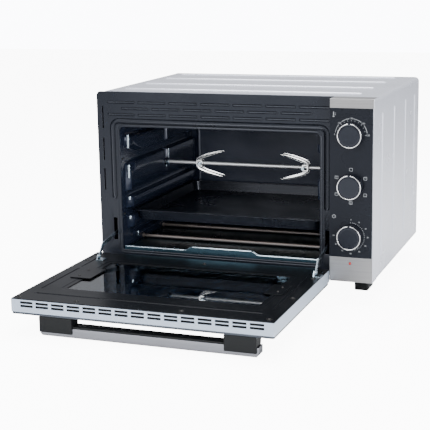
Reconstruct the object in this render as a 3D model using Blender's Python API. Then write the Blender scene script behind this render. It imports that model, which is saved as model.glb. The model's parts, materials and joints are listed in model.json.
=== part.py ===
"""Rotisserie oven with its door open: cabinet, door, rack walls, trays, heaters, spit, knobs and their drives.

All sizes are in metres.  Shapes are drawn in the cabinet's own frame: x from the cabinet's left side,
y from the front sheet towards the back, z from the cabinet's lower edge.  PLACE moves that frame so that
the origin ends up under the middle of the whole object, on the surface it stands on.
"""

import math

import bmesh
import bpy
from mathutils import Matrix, Vector

# ---------------------------------------------------------------- driving dimensions
WIDTH = 0.560                    # cabinet, side to side
HEIGHT = 0.337                   # cabinet, without its feet
DEPTH = 0.399                    # front sheet to rear cover
FOOT_HEIGHT = 0.046
GLAND_REACH = 0.012              # how far the cable gland stands out of the rear cover
GAP = 0.0003                     # between pieces that touch
SHEET = 0.0012                   # thickness of the pressed sheets
CORNER = 0.010                   # radius of the cabinet's upper edges

PANEL_FRONT = -0.032             # front of the control panel
PANEL_LEFT = 0.479
PANEL_WALL = 0.002
FACIA_LOW = 0.0465
FACIA_HIGH = 0.320

MOUTH_FOOT_RADIUS = 0.003        # tight, so that the crumb tray's corners clear it
OPENING_LEFT = 0.0465            # the cavity's mouth in the front sheet
OPENING_RIGHT = 0.4515
OPENING_LOW = 0.022
OPENING_HIGH = 0.268
CAVITY_BACK = 0.385
LEDGE_DEPTH = 0.011              # how far the rack ledges stand into the cavity
LEDGE_FRONT = 0.020

SPIT_Y = 0.208
SPIT_Z = 0.166
SPIT_RADIUS = 0.0035
SPIT_LEFT = 0.050
SPIT_RIGHT = 0.452
FORK_HUBS = {"left": 0.138, "right": 0.363}

HEATER_ROWS = (0.098, 0.203)
HEATER_RADIUS = 0.0032
HEATER_LEVELS = {"lower": 0.029, "upper": 0.258}

HINGE_Y = -0.0245                # the door's hinge line
HINGE_Z = -0.0035
DOOR_LEFT = 0.0013
DOOR_RIGHT = 0.4773
DOOR_NEAR = -0.025               # edge at the hinge
DOOR_FAR = -0.363                # edge at the handle
DOOR_TOP = 0.0191                # inner face, which lies on top while the door is open
DOOR_BOTTOM = -0.009
HINGE_CENTRES = (0.088, 0.391)

ARM_PIN_Y = -0.078
ARM_PIN_Z = 0.026
ARM_CENTRES = (0.032, 0.466)
ARM_THICKNESS = 0.0024

SCREW_HEAD_RADIUS = 0.0035
SCREW_HEAD_HEIGHT = 0.007

KNOB_X = 0.5185
KNOB_LEVELS = {"temperature": 0.2725, "function": 0.179, "timer": 0.086}
KNOB_RADIUS = 0.02225

PLACE = Vector((-WIDTH / 2, -(DOOR_FAR + DEPTH + GLAND_REACH) / 2, FOOT_HEIGHT))
AXES = {"x": 0, "y": 1, "z": 2}


# ---------------------------------------------------------------- helpers
def clear_scene():
    for item in list(bpy.data.objects):
        bpy.data.objects.remove(item, do_unlink=True)


def material(name, colour, metallic, roughness):
    made = bpy.data.materials.new(name)
    made.use_nodes = True
    shader = made.node_tree.nodes["Principled BSDF"]
    shader.inputs["Base Color"].default_value = (*colour, 1.0)
    shader.inputs["Metallic"].default_value = metallic
    shader.inputs["Roughness"].default_value = roughness
    return made


def empty(name, point):
    """An axis marker that moving pieces hang on."""
    made = bpy.data.objects.new(name, None)
    bpy.context.collection.objects.link(made)
    made.location = PLACE + Vector(point)
    made.empty_display_size = 0.03
    return made


def add_object(name, mesh_data, surface, origin=(0, 0, 0), parent=None, smooth=False):
    """Turn a bmesh drawn in cabinet coordinates into an object whose origin is at the given point."""
    bmesh.ops.translate(mesh_data, verts=mesh_data.verts, vec=-Vector(origin))
    bmesh.ops.recalc_face_normals(mesh_data, faces=mesh_data.faces)
    mesh = bpy.data.meshes.new(name)
    mesh_data.to_mesh(mesh)
    mesh_data.free()
    made = bpy.data.objects.new(name, mesh)
    bpy.context.collection.objects.link(made)
    if surface:
        mesh.materials.append(surface)
    if smooth:
        mesh.shade_smooth()
        mesh.set_sharp_from_angle(angle=math.radians(35))
    made.location = PLACE + Vector(origin)
    if parent:
        made.location = made.location - parent.location
        made.parent = parent
    return made


def cut(target, cutter_mesh, operation="DIFFERENCE"):
    """Cut a shape, drawn in cabinet coordinates, out of an object."""
    shift = target.location - PLACE
    if target.parent:
        shift = shift + target.parent.location
    cutter = add_object(target.name + ".cutter", cutter_mesh, None, origin=shift)
    cutter.hide_render = True
    cutter.display_type = "WIRE"
    if target.parent:
        cutter.location = target.location
        cutter.parent = target.parent
    modifier = target.modifiers.new("shape", "BOOLEAN")
    modifier.object = cutter
    modifier.operation = operation
    modifier.solver = "EXACT"


def box(*corners):
    """Boxes from (low corner, high corner) pairs, all in one bmesh."""
    made = bmesh.new()
    for low, high in corners:
        size = Vector(high) - Vector(low)
        middle = (Vector(high) + Vector(low)) / 2
        place = Matrix.Translation(middle) @ Matrix.Diagonal((*size, 1))
        bmesh.ops.create_cube(made, size=1, matrix=place)
    return made


def prism(outline, axis, low, high, into=None):
    """Extrude a closed outline along an axis.  The outline's two numbers are the other two axes, in x, y, z order."""
    made = into or bmesh.new()
    index = AXES[axis]

    def point(pair, along):
        values = list(pair)
        values.insert(index, along)
        return values

    near = [made.verts.new(point(pair, low)) for pair in outline]
    far = [made.verts.new(point(pair, high)) for pair in outline]
    made.faces.new(near)
    made.faces.new(list(reversed(far)))
    count = len(outline)
    for i in range(count):
        j = (i + 1) % count
        made.faces.new((near[j], near[i], far[i], far[j]))
    return made


def arc(centre, radius, start, end, steps):
    """Points of an arc; the angles are in degrees."""
    points = []
    for i in range(steps + 1):
        angle = math.radians(start + (end - start) * i / steps)
        points.append((centre[0] + radius * math.cos(angle), centre[1] + radius * math.sin(angle)))
    return points


def rounded(low_a, low_b, high_a, high_b, radius, steps=4, lower_radius=None):
    """Rectangle with round corners, anticlockwise from its lower right corner."""
    low_r = radius if lower_radius is None else lower_radius
    outline = []
    for centre_a, centre_b, r, start in (
        (high_a - low_r, low_b + low_r, low_r, -90),
        (high_a - radius, high_b - radius, radius, 0),
        (low_a + radius, high_b - radius, radius, 90),
        (low_a + low_r, low_b + low_r, low_r, 180),
    ):
        if r > 0:
            outline += arc((centre_a, centre_b), r, start, start + 90, steps)
        else:
            outline.append((centre_a, centre_b))
    return outline


def rod(axis, centre, radius, low, high, sides=16, into=None):
    """A straight round rod or a round cutter."""
    outline = arc(centre, radius, 0, 360 - 360 / sides, sides - 1)
    return prism(outline, axis, low, high, into)


def turned(profile, axis, centre, sides=24):
    """Turn a (radius, position along the axis) profile.  It starts and ends on the axis."""
    made = bmesh.new()
    index = AXES[axis]

    def point(pair, along):
        values = list(pair)
        values.insert(index, along)
        return values

    rings = []
    for radius, along in profile:
        if radius == 0:
            rings.append([made.verts.new(point(centre, along))])
            continue
        circle = arc(centre, radius, 0, 360 - 360 / sides, sides - 1)
        rings.append([made.verts.new(point(pair, along)) for pair in circle])
    for first, second in zip(rings, rings[1:]):
        for i in range(sides):
            j = (i + 1) % sides
            if len(first) == 1:
                made.faces.new((first[0], second[i], second[j]))
            elif len(second) == 1:
                made.faces.new((first[i], first[j], second[0]))
            else:
                made.faces.new((first[i], first[j], second[j], second[i]))
    return made


def blocks(marks_x, marks_y, marks_z, filled):
    """A stepped shape: cells between the marks, kept where filled(x, y, z) is true at their middle."""
    made = bmesh.new()
    marks = [sorted(set(marks)) for marks in (marks_x, marks_y, marks_z)]
    corners = {}

    def corner(key):
        if key not in corners:
            corners[key] = made.verts.new([marks[axis][key[axis]] for axis in range(3)])
        return corners[key]

    def solid(cell):
        for axis in range(3):
            if cell[axis] < 0 or cell[axis] >= len(marks[axis]) - 1:
                return False
        return filled(*[(marks[axis][cell[axis]] + marks[axis][cell[axis] + 1]) / 2 for axis in range(3)])

    spans = [range(len(values) - 1) for values in marks]
    for cell in ((i, j, k) for i in spans[0] for j in spans[1] for k in spans[2]):
        if not solid(cell):
            continue
        for axis in range(3):
            for side in (0, 1):
                beside = list(cell)
                beside[axis] += 1 if side else -1
                if solid(tuple(beside)):
                    continue
                others = [other for other in range(3) if other != axis]
                loop = []
                for step_a, step_b in ((0, 0), (1, 0), (1, 1), (0, 1)):
                    key = list(cell)
                    key[axis] += side
                    key[others[0]] += step_a
                    key[others[1]] += step_b
                    loop.append(corner(tuple(key)))
                made.faces.new(loop)
    bmesh.ops.recalc_face_normals(made, faces=made.faces)
    bmesh.ops.dissolve_limit(made, angle_limit=math.radians(1), verts=made.verts, edges=made.edges)
    return made


def strip_outline(points, width, steps=6):
    """Outline of a flat strip of even width along a path, with round ends."""
    half = width / 2
    path = [Vector(point) for point in points]
    left, right = [], []
    for i, point in enumerate(path):
        before = (point - path[i - 1]).normalized() if i else (path[1] - point).normalized()
        after = (path[i + 1] - point).normalized() if i < len(path) - 1 else before
        along = (before + after).normalized()
        across = Vector((-along.y, along.x)) * half / max(along.dot(after), 0.5)
        left.append(point + across)
        right.append(point - across)
    first = math.degrees(math.atan2(path[1].y - path[0].y, path[1].x - path[0].x))
    last = math.degrees(math.atan2(path[-1].y - path[-2].y, path[-1].x - path[-2].x))
    start_cap = arc(path[0], half, first + 90, first + 270, steps)
    end_cap = arc(path[-1], half, last - 90, last + 90, steps)
    return start_cap + [tuple(p) for p in right[1:-1]] + end_cap + [tuple(p) for p in reversed(left[1:-1])]


# ---------------------------------------------------------------- cabinet
def outer_casing(steel):
    """One folded sheet: left side, top and right side, open at the front, back and bottom."""
    outer = rounded(0, 0, WIDTH, HEIGHT, CORNER, lower_radius=0)
    inner = rounded(SHEET, 0, WIDTH - SHEET, HEIGHT - SHEET, CORNER - SHEET, lower_radius=0)
    outline = outer + list(reversed(inner))
    add_object("outer_casing", prism(outline, "y", SHEET + GAP, DEPTH), steel, smooth=True)


def rear_cover(steel):
    inset = SHEET + GAP
    outline = rounded(inset, GAP, WIDTH - inset, HEIGHT - inset, CORNER - inset, lower_radius=0)
    cover = add_object("rear_cover", prism(outline, "y", DEPTH - 2 * SHEET, DEPTH - SHEET), steel)
    cut(cover, rod("y", GLAND_CENTRE, GLAND_NECK + GAP, DEPTH - 0.01, DEPTH + 0.01))


GLAND_CENTRE = (0.505, 0.060)    # x and z of the cable gland
GLAND_NECK = 0.006


def cable_gland(plastic):
    """A flanged bush in the rear cover.  Its bore is where the mains lead would come out."""
    inner_end = DEPTH - 0.010
    outer_face = DEPTH - SHEET + GAP
    end = DEPTH + GLAND_REACH
    profile = [(0, inner_end), (GLAND_NECK, inner_end), (GLAND_NECK, outer_face), (0.0095, outer_face),
               (0.0095, outer_face + 0.003), (0.0062, end), (0, end)]
    gland = add_object("cable_gland", turned(profile, "y", GLAND_CENTRE, 20), plastic, smooth=True)
    cut(gland, rod("y", GLAND_CENTRE, 0.0035, inner_end - 0.01, end + 0.01, 12))


def base_plate(steel):
    low = (SHEET + GAP, SHEET + GAP, 0)
    high = (WIDTH - SHEET - GAP, DEPTH - 2 * SHEET - GAP, SHEET)
    add_object("base_plate", box((low, high)), steel)


def feet(plastic):
    """Four tapered feet under the base plate, the rear pair set further in."""
    size_x, size_y, taper = 0.0295, 0.050, 0.0015
    places = {"front_left": (0.0315, 0.074), "front_right": (0.499, 0.074),
              "rear_left": (0.070, 0.300), "rear_right": (0.4605, 0.300)}
    for name, (x, y) in places.items():
        upper = rounded(x, y, x + size_x, y + size_y, 0.004, 2)
        lower = rounded(x + taper, y + taper, x + size_x - taper, y + size_y - taper, 0.003, 2)
        made = bmesh.new()
        rings = []
        for outline, z in ((upper, -GAP), (lower, -FOOT_HEIGHT)):
            rings.append([made.verts.new((*pair, z)) for pair in outline])
        made.faces.new(rings[0])
        made.faces.new(list(reversed(rings[1])))
        for i in range(len(upper)):
            j = (i + 1) % len(upper)
            made.faces.new((rings[0][i], rings[0][j], rings[1][j], rings[1][i]))
        add_object("foot_" + name, made, plastic)


ARM_SLOTS = ((0.028, 0.036), (0.462, 0.470))
ARM_SLOT_LEVELS = (0.041, 0.086)


def front_frame(dark_steel):
    """The pressed sheet round the cavity's mouth, with a slot for each door arm."""
    outline = [(0, 0), (PANEL_LEFT - GAP, 0), (PANEL_LEFT - GAP, HEIGHT), (CORNER, HEIGHT)]
    outline += arc((CORNER, HEIGHT - CORNER), CORNER, 90, 180, 4)[1:]
    frame = add_object("front_frame", prism(outline, "y", 0, SHEET), dark_steel)
    mouth = rounded(OPENING_LEFT, OPENING_LOW, OPENING_RIGHT, OPENING_HIGH, 0.010, 4, MOUTH_FOOT_RADIUS)
    cutter = prism(mouth, "y", -0.01, 0.01)
    for left, right in ARM_SLOTS:
        slot = rounded(left, ARM_SLOT_LEVELS[0], right, ARM_SLOT_LEVELS[1], 0.002, 2)
        prism(slot, "y", -0.01, 0.01, cutter)
    cut(frame, cutter)


# (low z, high z, front y) of each pressed ledge on the cavity's side walls
LEDGES = ((0.037, 0.050, 0.052), (0.058, 0.0875, LEDGE_FRONT), (0.0985, 0.126, LEDGE_FRONT),
          (0.134, 0.196, LEDGE_FRONT), (0.2085, 0.248, LEDGE_FRONT))
LEDGE_BACK = CAVITY_BACK - GAP
NOTCH_HALF = 0.005               # the slot that the spit's left end drops into
NOTCH_FLOOR = SPIT_Z - SPIT_RADIUS - GAP


def liner_wall(name, side, has_notch, enamel):
    """A side wall of the cavity.  side is 1 for the left wall and -1 for the right, which mirrors it."""
    centre = (OPENING_LEFT + OPENING_RIGHT) / 2

    def across(depth):
        """World x of a depth measured from the wall's outer face into the cavity."""
        return centre - side * (centre - (OPENING_LEFT - 0.0015) - depth)

    def raised(y, z):
        if has_notch and abs(y - SPIT_Y) < NOTCH_HALF and NOTCH_FLOOR < z < 0.197:
            return False
        return any(low < z < high and front < y < LEDGE_BACK - 0.0002 for low, high, front in LEDGES)

    def filled(x, y, z):
        depth = side * (x - across(0))
        inside = raised(y, z)
        step = SHEET * 0.99
        around = [raised(y + dy, z + dz) for dy in (-step, 0, step) for dz in (-step, 0, step)]
        if inside and not all(around):
            return True
        return depth > LEDGE_DEPTH if inside else depth < SHEET

    marks_y = [SHEET + GAP, LEDGE_BACK - SHEET - 0.0002, LEDGE_BACK - 0.0002, LEDGE_BACK]
    marks_z = [OPENING_LOW + GAP, OPENING_HIGH - GAP]
    for low, high, front in LEDGES:
        marks_y += [front, front + SHEET]
        marks_z += [low, low + SHEET, high - SHEET, high]
    if has_notch:
        edge = NOTCH_HALF + SHEET
        marks_y += [SPIT_Y - edge, SPIT_Y - NOTCH_HALF, SPIT_Y + NOTCH_HALF, SPIT_Y + edge]
        marks_z += [NOTCH_FLOOR - SHEET, NOTCH_FLOOR]
    marks_x = [across(depth) for depth in (0, SHEET, LEDGE_DEPTH, LEDGE_DEPTH + SHEET)]
    wall = add_object(name, blocks(marks_x, marks_y, marks_z, filled), enamel)
    holes = bmesh.new()
    reach = sorted((across(-0.01), across(0.03)))
    for z in HEATER_LEVELS.values():
        for y in HEATER_ROWS:
            rod("x", (y, z), TERMINAL_RADIUS + GAP, *reach, 12, holes)
    if not has_notch:
        rod("x", (SPIT_Y, SPIT_Z), SOCKET_RADIUS + 2 * GAP, *reach, 20, holes)
    cut(wall, holes)


def liner(enamel):
    """The cavity: two pressed side walls, roof, floor and back."""
    liner_wall("liner_left_wall", 1, True, enamel)
    liner_wall("liner_right_wall", -1, False, enamel)
    left = OPENING_LEFT - 0.0015
    right = OPENING_RIGHT + 0.0015
    front = SHEET + GAP
    floor = box(((left, front, OPENING_LOW - SHEET), (right, CAVITY_BACK, OPENING_LOW)))
    roof = box(((left, front, OPENING_HIGH), (right, CAVITY_BACK, OPENING_HIGH + SHEET)))
    low = (left, CAVITY_BACK + GAP, OPENING_LOW - SHEET)
    high = (right, CAVITY_BACK + GAP + SHEET, OPENING_HIGH + SHEET)
    add_object("liner_floor", floor, enamel)
    add_object("liner_roof", roof, enamel)
    add_object("liner_back", box((low, high)), enamel)


TERMINAL_RADIUS = 0.0022


def heaters(sheath):
    """Straight sheathed rods: a thin terminal through each wall, a collar against it, the hot rod between."""
    left = OPENING_LEFT
    right = OPENING_RIGHT
    for level, z in HEATER_LEVELS.items():
        for place, y in zip(("front", "rear"), HEATER_ROWS):
            profile = [(0, left - 0.008), (TERMINAL_RADIUS, left - 0.008), (TERMINAL_RADIUS, left + GAP),
                       (0.0048, left + GAP), (0.0048, left + 0.003), (HEATER_RADIUS, left + 0.003)]
            mirrored = [(radius, left + right - x) for radius, x in reversed(profile)]
            shape = turned(profile + mirrored, "x", (y, z), 12)
            add_object(f"heater_{level}_{place}", shape, sheath, smooth=True)


# ---------------------------------------------------------------- control panel
LAMP = (0.5177, 0.035)
LAMP_RADIUS = 0.0025
SHAFT_RADIUS = 0.003


def control_housing(silver):
    """The proud box at the right of the front.  Its front is open where the facia sits."""
    back = SHEET
    right = WIDTH

    def filled(x, y, z):
        if y < PANEL_FRONT + PANEL_WALL:
            return z < FACIA_LOW or z > FACIA_HIGH or x > right - PANEL_WALL
        return (x < PANEL_LEFT + SHEET or x > right - PANEL_WALL or z < PANEL_WALL
                or z > HEIGHT - PANEL_WALL)

    marks_x = (PANEL_LEFT, PANEL_LEFT + SHEET, right - PANEL_WALL, right)
    marks_y = (PANEL_FRONT, PANEL_FRONT + PANEL_WALL, back)
    marks_z = (0, PANEL_WALL, FACIA_LOW, FACIA_HIGH, HEIGHT - PANEL_WALL, HEIGHT)
    housing = add_object("control_housing", blocks(marks_x, marks_y, marks_z, filled), silver)
    cut(housing, rod("y", LAMP, LAMP_RADIUS + GAP, PANEL_FRONT - 0.01, PANEL_FRONT + 0.01, 12))


def control_facia(black):
    low = (PANEL_LEFT, PANEL_FRONT, FACIA_LOW + GAP)
    high = (WIDTH - PANEL_WALL - GAP, PANEL_FRONT + PANEL_WALL - GAP, FACIA_HIGH - GAP)
    facia = add_object("control_facia", box((low, high)), black)
    holes = bmesh.new()
    for z in KNOB_LEVELS.values():
        rod("y", (KNOB_X, z), SHAFT_RADIUS + 0.001, PANEL_FRONT - 0.01, PANEL_FRONT + 0.01, 16, holes)
    cut(facia, holes)


def indicator_lamp(lens):
    front = PANEL_FRONT - 0.0008
    profile = [(0, front), (0.0015, front + 0.0002), (LAMP_RADIUS, PANEL_FRONT), (LAMP_RADIUS, PANEL_FRONT + 0.008),
               (0, PANEL_FRONT + 0.008)]
    add_object("indicator_lamp", turned(profile, "y", LAMP, 16), lens, smooth=True)


def controls(casing):
    """What the knobs turn: thermostat, function switch and timer, each with a bore for its knob's shaft."""
    front = PANEL_FRONT + PANEL_WALL
    shapes = {"thermostat": (0.017, 0.014, 0.020), "function_switch": (0.016, 0.016, 0.024),
              "timer": (0.020, 0.022, 0.026)}
    for (name, (half_x, half_z, length)), z in zip(shapes.items(), KNOB_LEVELS.values()):
        outline = rounded(KNOB_X - half_x, z - half_z, KNOB_X + half_x, z + half_z, 0.004, 2)
        body = add_object(name, prism(outline, "y", front, front + length), casing)
        cut(body, rod("y", (KNOB_X, z), SHAFT_RADIUS + GAP, front - 0.01, front + 0.016, 16))


def knobs(black, chrome):
    """Three knobs with moulded shafts.  The open bright ring let into each face leaves a gap as the pointer."""
    skirt = PANEL_FRONT - GAP
    face = skirt - 0.0165
    shoulder = face + 0.0022
    inner = KNOB_RADIUS - 0.0022
    ring_gap = 5
    for name, z in KNOB_LEVELS.items():
        axis = (KNOB_X, skirt, z)
        pivot = empty(name + "_axis", axis)
        profile = [(0, face), (inner, face), (inner, shoulder), (KNOB_RADIUS, shoulder),
                   (KNOB_RADIUS, skirt - 0.002), (KNOB_RADIUS + 0.0012, skirt - 0.0015),
                   (KNOB_RADIUS + 0.0012, skirt), (SHAFT_RADIUS, skirt), (SHAFT_RADIUS, skirt + 0.015),
                   (0, skirt + 0.015)]
        shape = turned(profile, "y", (KNOB_X, z), 32)
        add_object(f"{name}_knob", shape, black, axis, pivot, smooth=True)
        outer_arc = arc((KNOB_X, z), KNOB_RADIUS, 90 + ring_gap, 450 - ring_gap, 30)
        inner_arc = arc((KNOB_X, z), inner + GAP, 450 - ring_gap, 90 + ring_gap, 30)
        ring = prism(outer_arc + inner_arc, "y", face - 0.0004, shoulder - GAP)
        add_object(f"{name}_knob_ring", ring, chrome, axis, pivot)


# ---------------------------------------------------------------- spit
SOCKET_RADIUS = 0.007
SOCKET_LEFT = 0.4385
SOCKET_RIGHT = 0.457
FORK_BORE = SPIT_RADIUS + GAP
TRAY_SIDES = (0.050, 0.448)


def spit(chrome, steel):
    """The spit rod and the driven socket that its right end stands in."""
    axis = (SPIT_LEFT, SPIT_Y, SPIT_Z)
    pivot = empty("spit_axis", axis)
    groove = 0.0022
    profile = [(0, SPIT_LEFT), (SPIT_RADIUS, SPIT_LEFT), (SPIT_RADIUS, SPIT_LEFT + 0.0045),
               (groove, SPIT_LEFT + 0.0045), (groove, SPIT_LEFT + 0.0085), (SPIT_RADIUS, SPIT_LEFT + 0.0085),
               (SPIT_RADIUS, SPIT_RIGHT), (0, SPIT_RIGHT)]
    add_object("spit_rod", turned(profile, "x", (SPIT_Y, SPIT_Z), 16), chrome, axis, pivot, smooth=True)
    shape = rod("x", (SPIT_Y, SPIT_Z), SOCKET_RADIUS, SOCKET_LEFT, SOCKET_RIGHT, 20)
    socket = add_object("drive_socket", shape, steel, axis, pivot, smooth=True)
    cut(socket, rod("x", (SPIT_Y, SPIT_Z), FORK_BORE, SOCKET_LEFT - 0.01, SPIT_RIGHT + GAP))


def drive_motor(steel):
    half = 0.028
    outline = rounded(SPIT_Y - half, SPIT_Z - half, SPIT_Y + half, SPIT_Z + half, 0.008, 3)
    add_object("drive_motor", prism(outline, "x", SOCKET_RIGHT + GAP, 0.498), steel)


def fork(name, hub_x, inward, chrome, steel):
    """A hub plate that slides on the rod, with two bent pronged blades at its top and two at its bottom."""
    half_width = 0.0097
    blade = 0.0024
    web = 0.004
    axis = (hub_x, SPIT_Y, SPIT_Z)
    pivot = empty(name + "_axis", axis)
    upper = [(web, 0.0105), (0.010, 0.0152), (0.049, 0.0256), (0.049, 0.0264), (0.010, 0.0218), (-0.003, 0.0175)]
    lower = [(x, -z) for x, z in reversed(upper)]
    outline = [(hub_x + inward * x, SPIT_Z + z) for x, z in upper + [(-web, 0.012), (-web, -0.012)] + lower]
    made = add_object(name, prism(outline, "y", SPIT_Y - half_width, SPIT_Y + half_width), chrome, axis, pivot)
    ends = sorted((hub_x + inward * web, hub_x + inward * 0.080))
    low = (ends[0], SPIT_Y - half_width + blade, SPIT_Z - 0.040)
    high = (ends[1], SPIT_Y + half_width - blade, SPIT_Z + 0.040)
    cut(made, box((low, high)))
    cut(made, rod("x", (SPIT_Y, SPIT_Z), FORK_BORE, hub_x - 0.02, hub_x + 0.02, 16))
    screw_radius = 0.002
    cut(made, rod("y", (hub_x, SPIT_Z), screw_radius + GAP, SPIT_Y - 0.02, SPIT_Y - 0.001, 12))
    tip = SPIT_Y - SPIT_RADIUS - GAP
    head = SPIT_Y - half_width - GAP
    profile = [(0, head - SCREW_HEAD_HEIGHT), (SCREW_HEAD_RADIUS, head - SCREW_HEAD_HEIGHT),
               (SCREW_HEAD_RADIUS, head), (screw_radius, head), (screw_radius, tip), (0, tip)]
    screw_pivot = empty(name + "_screw_axis", (hub_x, head, SPIT_Z))
    add_object(name + "_screw", turned(profile, "y", (hub_x, SPIT_Z), 12), steel, (hub_x, head, SPIT_Z),
               screw_pivot, smooth=True)


# ---------------------------------------------------------------- trays
PAN_FLOOR = 2                    # which ring is the outside of the floor; the next one is its inside


def pan(name, rings, surface):
    """A pressed pan.  rings are (outline, z) pairs that run down its outside and up its inside."""
    made = bmesh.new()
    loops = [[made.verts.new((*pair, z)) for pair in outline] for outline, z in rings]
    count = len(loops[0])
    for first, second in zip(loops, loops[1:] + loops[:1]):
        if first is loops[PAN_FLOOR]:
            continue
        for i in range(count):
            j = (i + 1) % count
            made.faces.new((first[i], first[j], second[j], second[i]))
    made.faces.new(loops[PAN_FLOOR])
    made.faces.new(list(reversed(loops[PAN_FLOOR + 1])))
    return add_object(name, made, surface, origin=(*rings[0][0][0], rings[0][1]), smooth=True)


def baking_tray(enamel):
    """A black pan whose rim runs in the third pair of ledges."""
    left, right = TRAY_SIDES
    front, back = 0.035, 0.376
    rim_z, floor_z, flange = 0.0945, 0.0745, 0.009
    wall = 0.0012

    def ring(inset, radius):
        return rounded(left + inset, front + inset, right - inset, back - inset, radius, 4)

    rings = [(ring(0, 0.014), rim_z), (ring(flange, 0.012), rim_z), (ring(flange + 0.003, 0.011), floor_z),
             (ring(flange + 0.003 + wall, 0.010), floor_z + wall), (ring(flange + wall, 0.011), rim_z + wall),
             (ring(0, 0.014), rim_z + wall)]
    pan("baking_tray", rings, enamel)


def crumb_tray(zinc):
    """A shallow galvanised pan on the cavity's floor, with a lip and a raised grip at the front."""
    left, right = TRAY_SIDES
    front, back = 0.0015, 0.372
    floor_z = OPENING_LOW + GAP
    wall = 0.0010
    grip_left, grip_right = 0.180, 0.328

    def filled(x, y, z):
        if z < floor_z + wall:
            return True
        if y < front + wall:
            return z < 0.028 or grip_left < x < grip_right
        if y < front + 0.006:
            if z > 0.028 - wall and z < 0.028:
                return not grip_left < x < grip_right
            return grip_left < x < grip_right and z > 0.035 - wall
        edge = x < left + wall or x > right - wall or y > back - wall
        return edge and z < 0.0255

    marks_x = (left, left + wall, grip_left, grip_right, right - wall, right)
    marks_y = (front, front + wall, front + 0.006, back - wall, back)
    marks_z = (floor_z, floor_z + wall, 0.0255, 0.028 - wall, 0.028, 0.035 - wall, 0.035)
    add_object("crumb_tray", blocks(marks_x, marks_y, marks_z, filled), zinc, origin=(left, front, floor_z))


# ---------------------------------------------------------------- door
CLEVIS_HALF = 0.009
EAR_HALF = 0.004
PIN_RADIUS = 0.0015
KNUCKLE = 0.004
DOOR_SHEET_LOW = 0.0176          # top of the edge frame, under the inner panel
GLASS_NEAR = -0.0295


def hinge_ears(steel):
    """Straps under the base plate, each with a riveted pin on the door's hinge line in front of the cabinet."""
    for side, x in zip(("left", "right"), HINGE_CENTRES):
        centre = (HINGE_Y, HINGE_Z)
        strap = arc(centre, KNUCKLE, 40, 270, 10)
        strap += [(0.020, HINGE_Z - KNUCKLE), (0.020, -GAP), (0.004, -GAP), (0.004, -0.0045)]
        strap += [(HINGE_Y + 0.0039, -0.0045)]
        ear = add_object(f"hinge_ear_{side}", prism(strap, "x", x - EAR_HALF, x + EAR_HALF), steel)
        pin_half = CLEVIS_HALF + 0.001
        cut(ear, rod("x", centre, PIN_RADIUS, x - pin_half, x + pin_half, 12), "UNION")


def door_hinges(steel, door):
    """A forked bracket inside the door's edge, turning on each ear's pin."""
    centre = (HINGE_Y, HINGE_Z)
    for side, x in zip(("left", "right"), HINGE_CENTRES):
        outline = arc(centre, KNUCKLE, -90, 90, 6)
        outline += [(-0.044, HINGE_Z + KNUCKLE), (-0.044, -0.0048), (-0.029, -0.0048), (-0.029, -0.0075)]
        shape = prism(outline, "x", x - CLEVIS_HALF, x + CLEVIS_HALF)
        bracket = add_object(f"door_hinge_{side}", shape, steel, (x, *centre), door)
        slot = box(((x - EAR_HALF - 0.001, -0.0300, -0.010), (x + EAR_HALF + 0.001, -0.015, 0.004)))
        cut(bracket, slot)
        cut(bracket, rod("x", centre, PIN_RADIUS + GAP, x - 0.02, x + 0.02, 12))


def door_frame(silver, door):
    """The door's edge: four walls and a narrow lip over the outer glass, notched for the hinges."""
    wall = 0.0015
    lip = 0.018
    low_z = -0.0050

    def filled(x, y, z):
        reach = lip if z < low_z + wall else wall
        return (x < DOOR_LEFT + reach or x > DOOR_RIGHT - reach or y > DOOR_NEAR - reach
                or y < DOOR_FAR + reach)

    marks_x = [DOOR_LEFT, DOOR_LEFT + wall, DOOR_LEFT + lip, DOOR_RIGHT - lip, DOOR_RIGHT - wall, DOOR_RIGHT]
    marks_y = [DOOR_FAR, DOOR_FAR + wall, DOOR_FAR + lip, DOOR_NEAR - lip, DOOR_NEAR - wall, DOOR_NEAR]
    marks_z = [low_z, low_z + wall, DOOR_SHEET_LOW]
    origin = (DOOR_LEFT, DOOR_NEAR, low_z)
    frame = add_object("door_frame", blocks(marks_x, marks_y, marks_z, filled), silver, origin, door)
    notches = []
    for x in HINGE_CENTRES:
        reach = CLEVIS_HALF + 0.0016
        notches.append(((x - reach, DOOR_NEAR - lip - 0.003, -0.012), (x + reach, 0, 0.0015)))
    cut(frame, box(*notches))


WINDOW = (0.066, -0.281, 0.424, -0.092)      # the inner panel's window: x, y, x, y


def door_panels(black, glass, dark_glass, door):
    """Outer glass below, pressed inner panel on top with the window, inner glass under the window."""
    outer = rounded(DOOR_LEFT + 0.0004, DOOR_FAR + 0.0004, DOOR_RIGHT - 0.0004, GLASS_NEAR, 0.003, 2)
    add_object("door_outer_glass", prism(outer, "z", DOOR_BOTTOM, -0.0053), dark_glass,
               (DOOR_LEFT, GLASS_NEAR, DOOR_BOTTOM), door)
    sheet = rounded(DOOR_LEFT, DOOR_FAR, DOOR_RIGHT, DOOR_NEAR, 0.003, 2)
    panel = add_object("door_inner_panel", prism(sheet, "z", DOOR_SHEET_LOW + GAP, DOOR_TOP), black,
                       (DOOR_LEFT, DOOR_NEAR, DOOR_TOP), door)
    cut(panel, prism(rounded(*WINDOW, 0.006, 3), "z", 0.010, 0.030))
    pane = rounded(WINDOW[0] - 0.008, WINDOW[1] - 0.008, WINDOW[2] + 0.008, WINDOW[3] + 0.008, 0.003, 2)
    add_object("door_inner_glass", prism(pane, "z", 0.0136, DOOR_SHEET_LOW), glass,
               (WINDOW[0], WINDOW[3], 0.0136), door)


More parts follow.
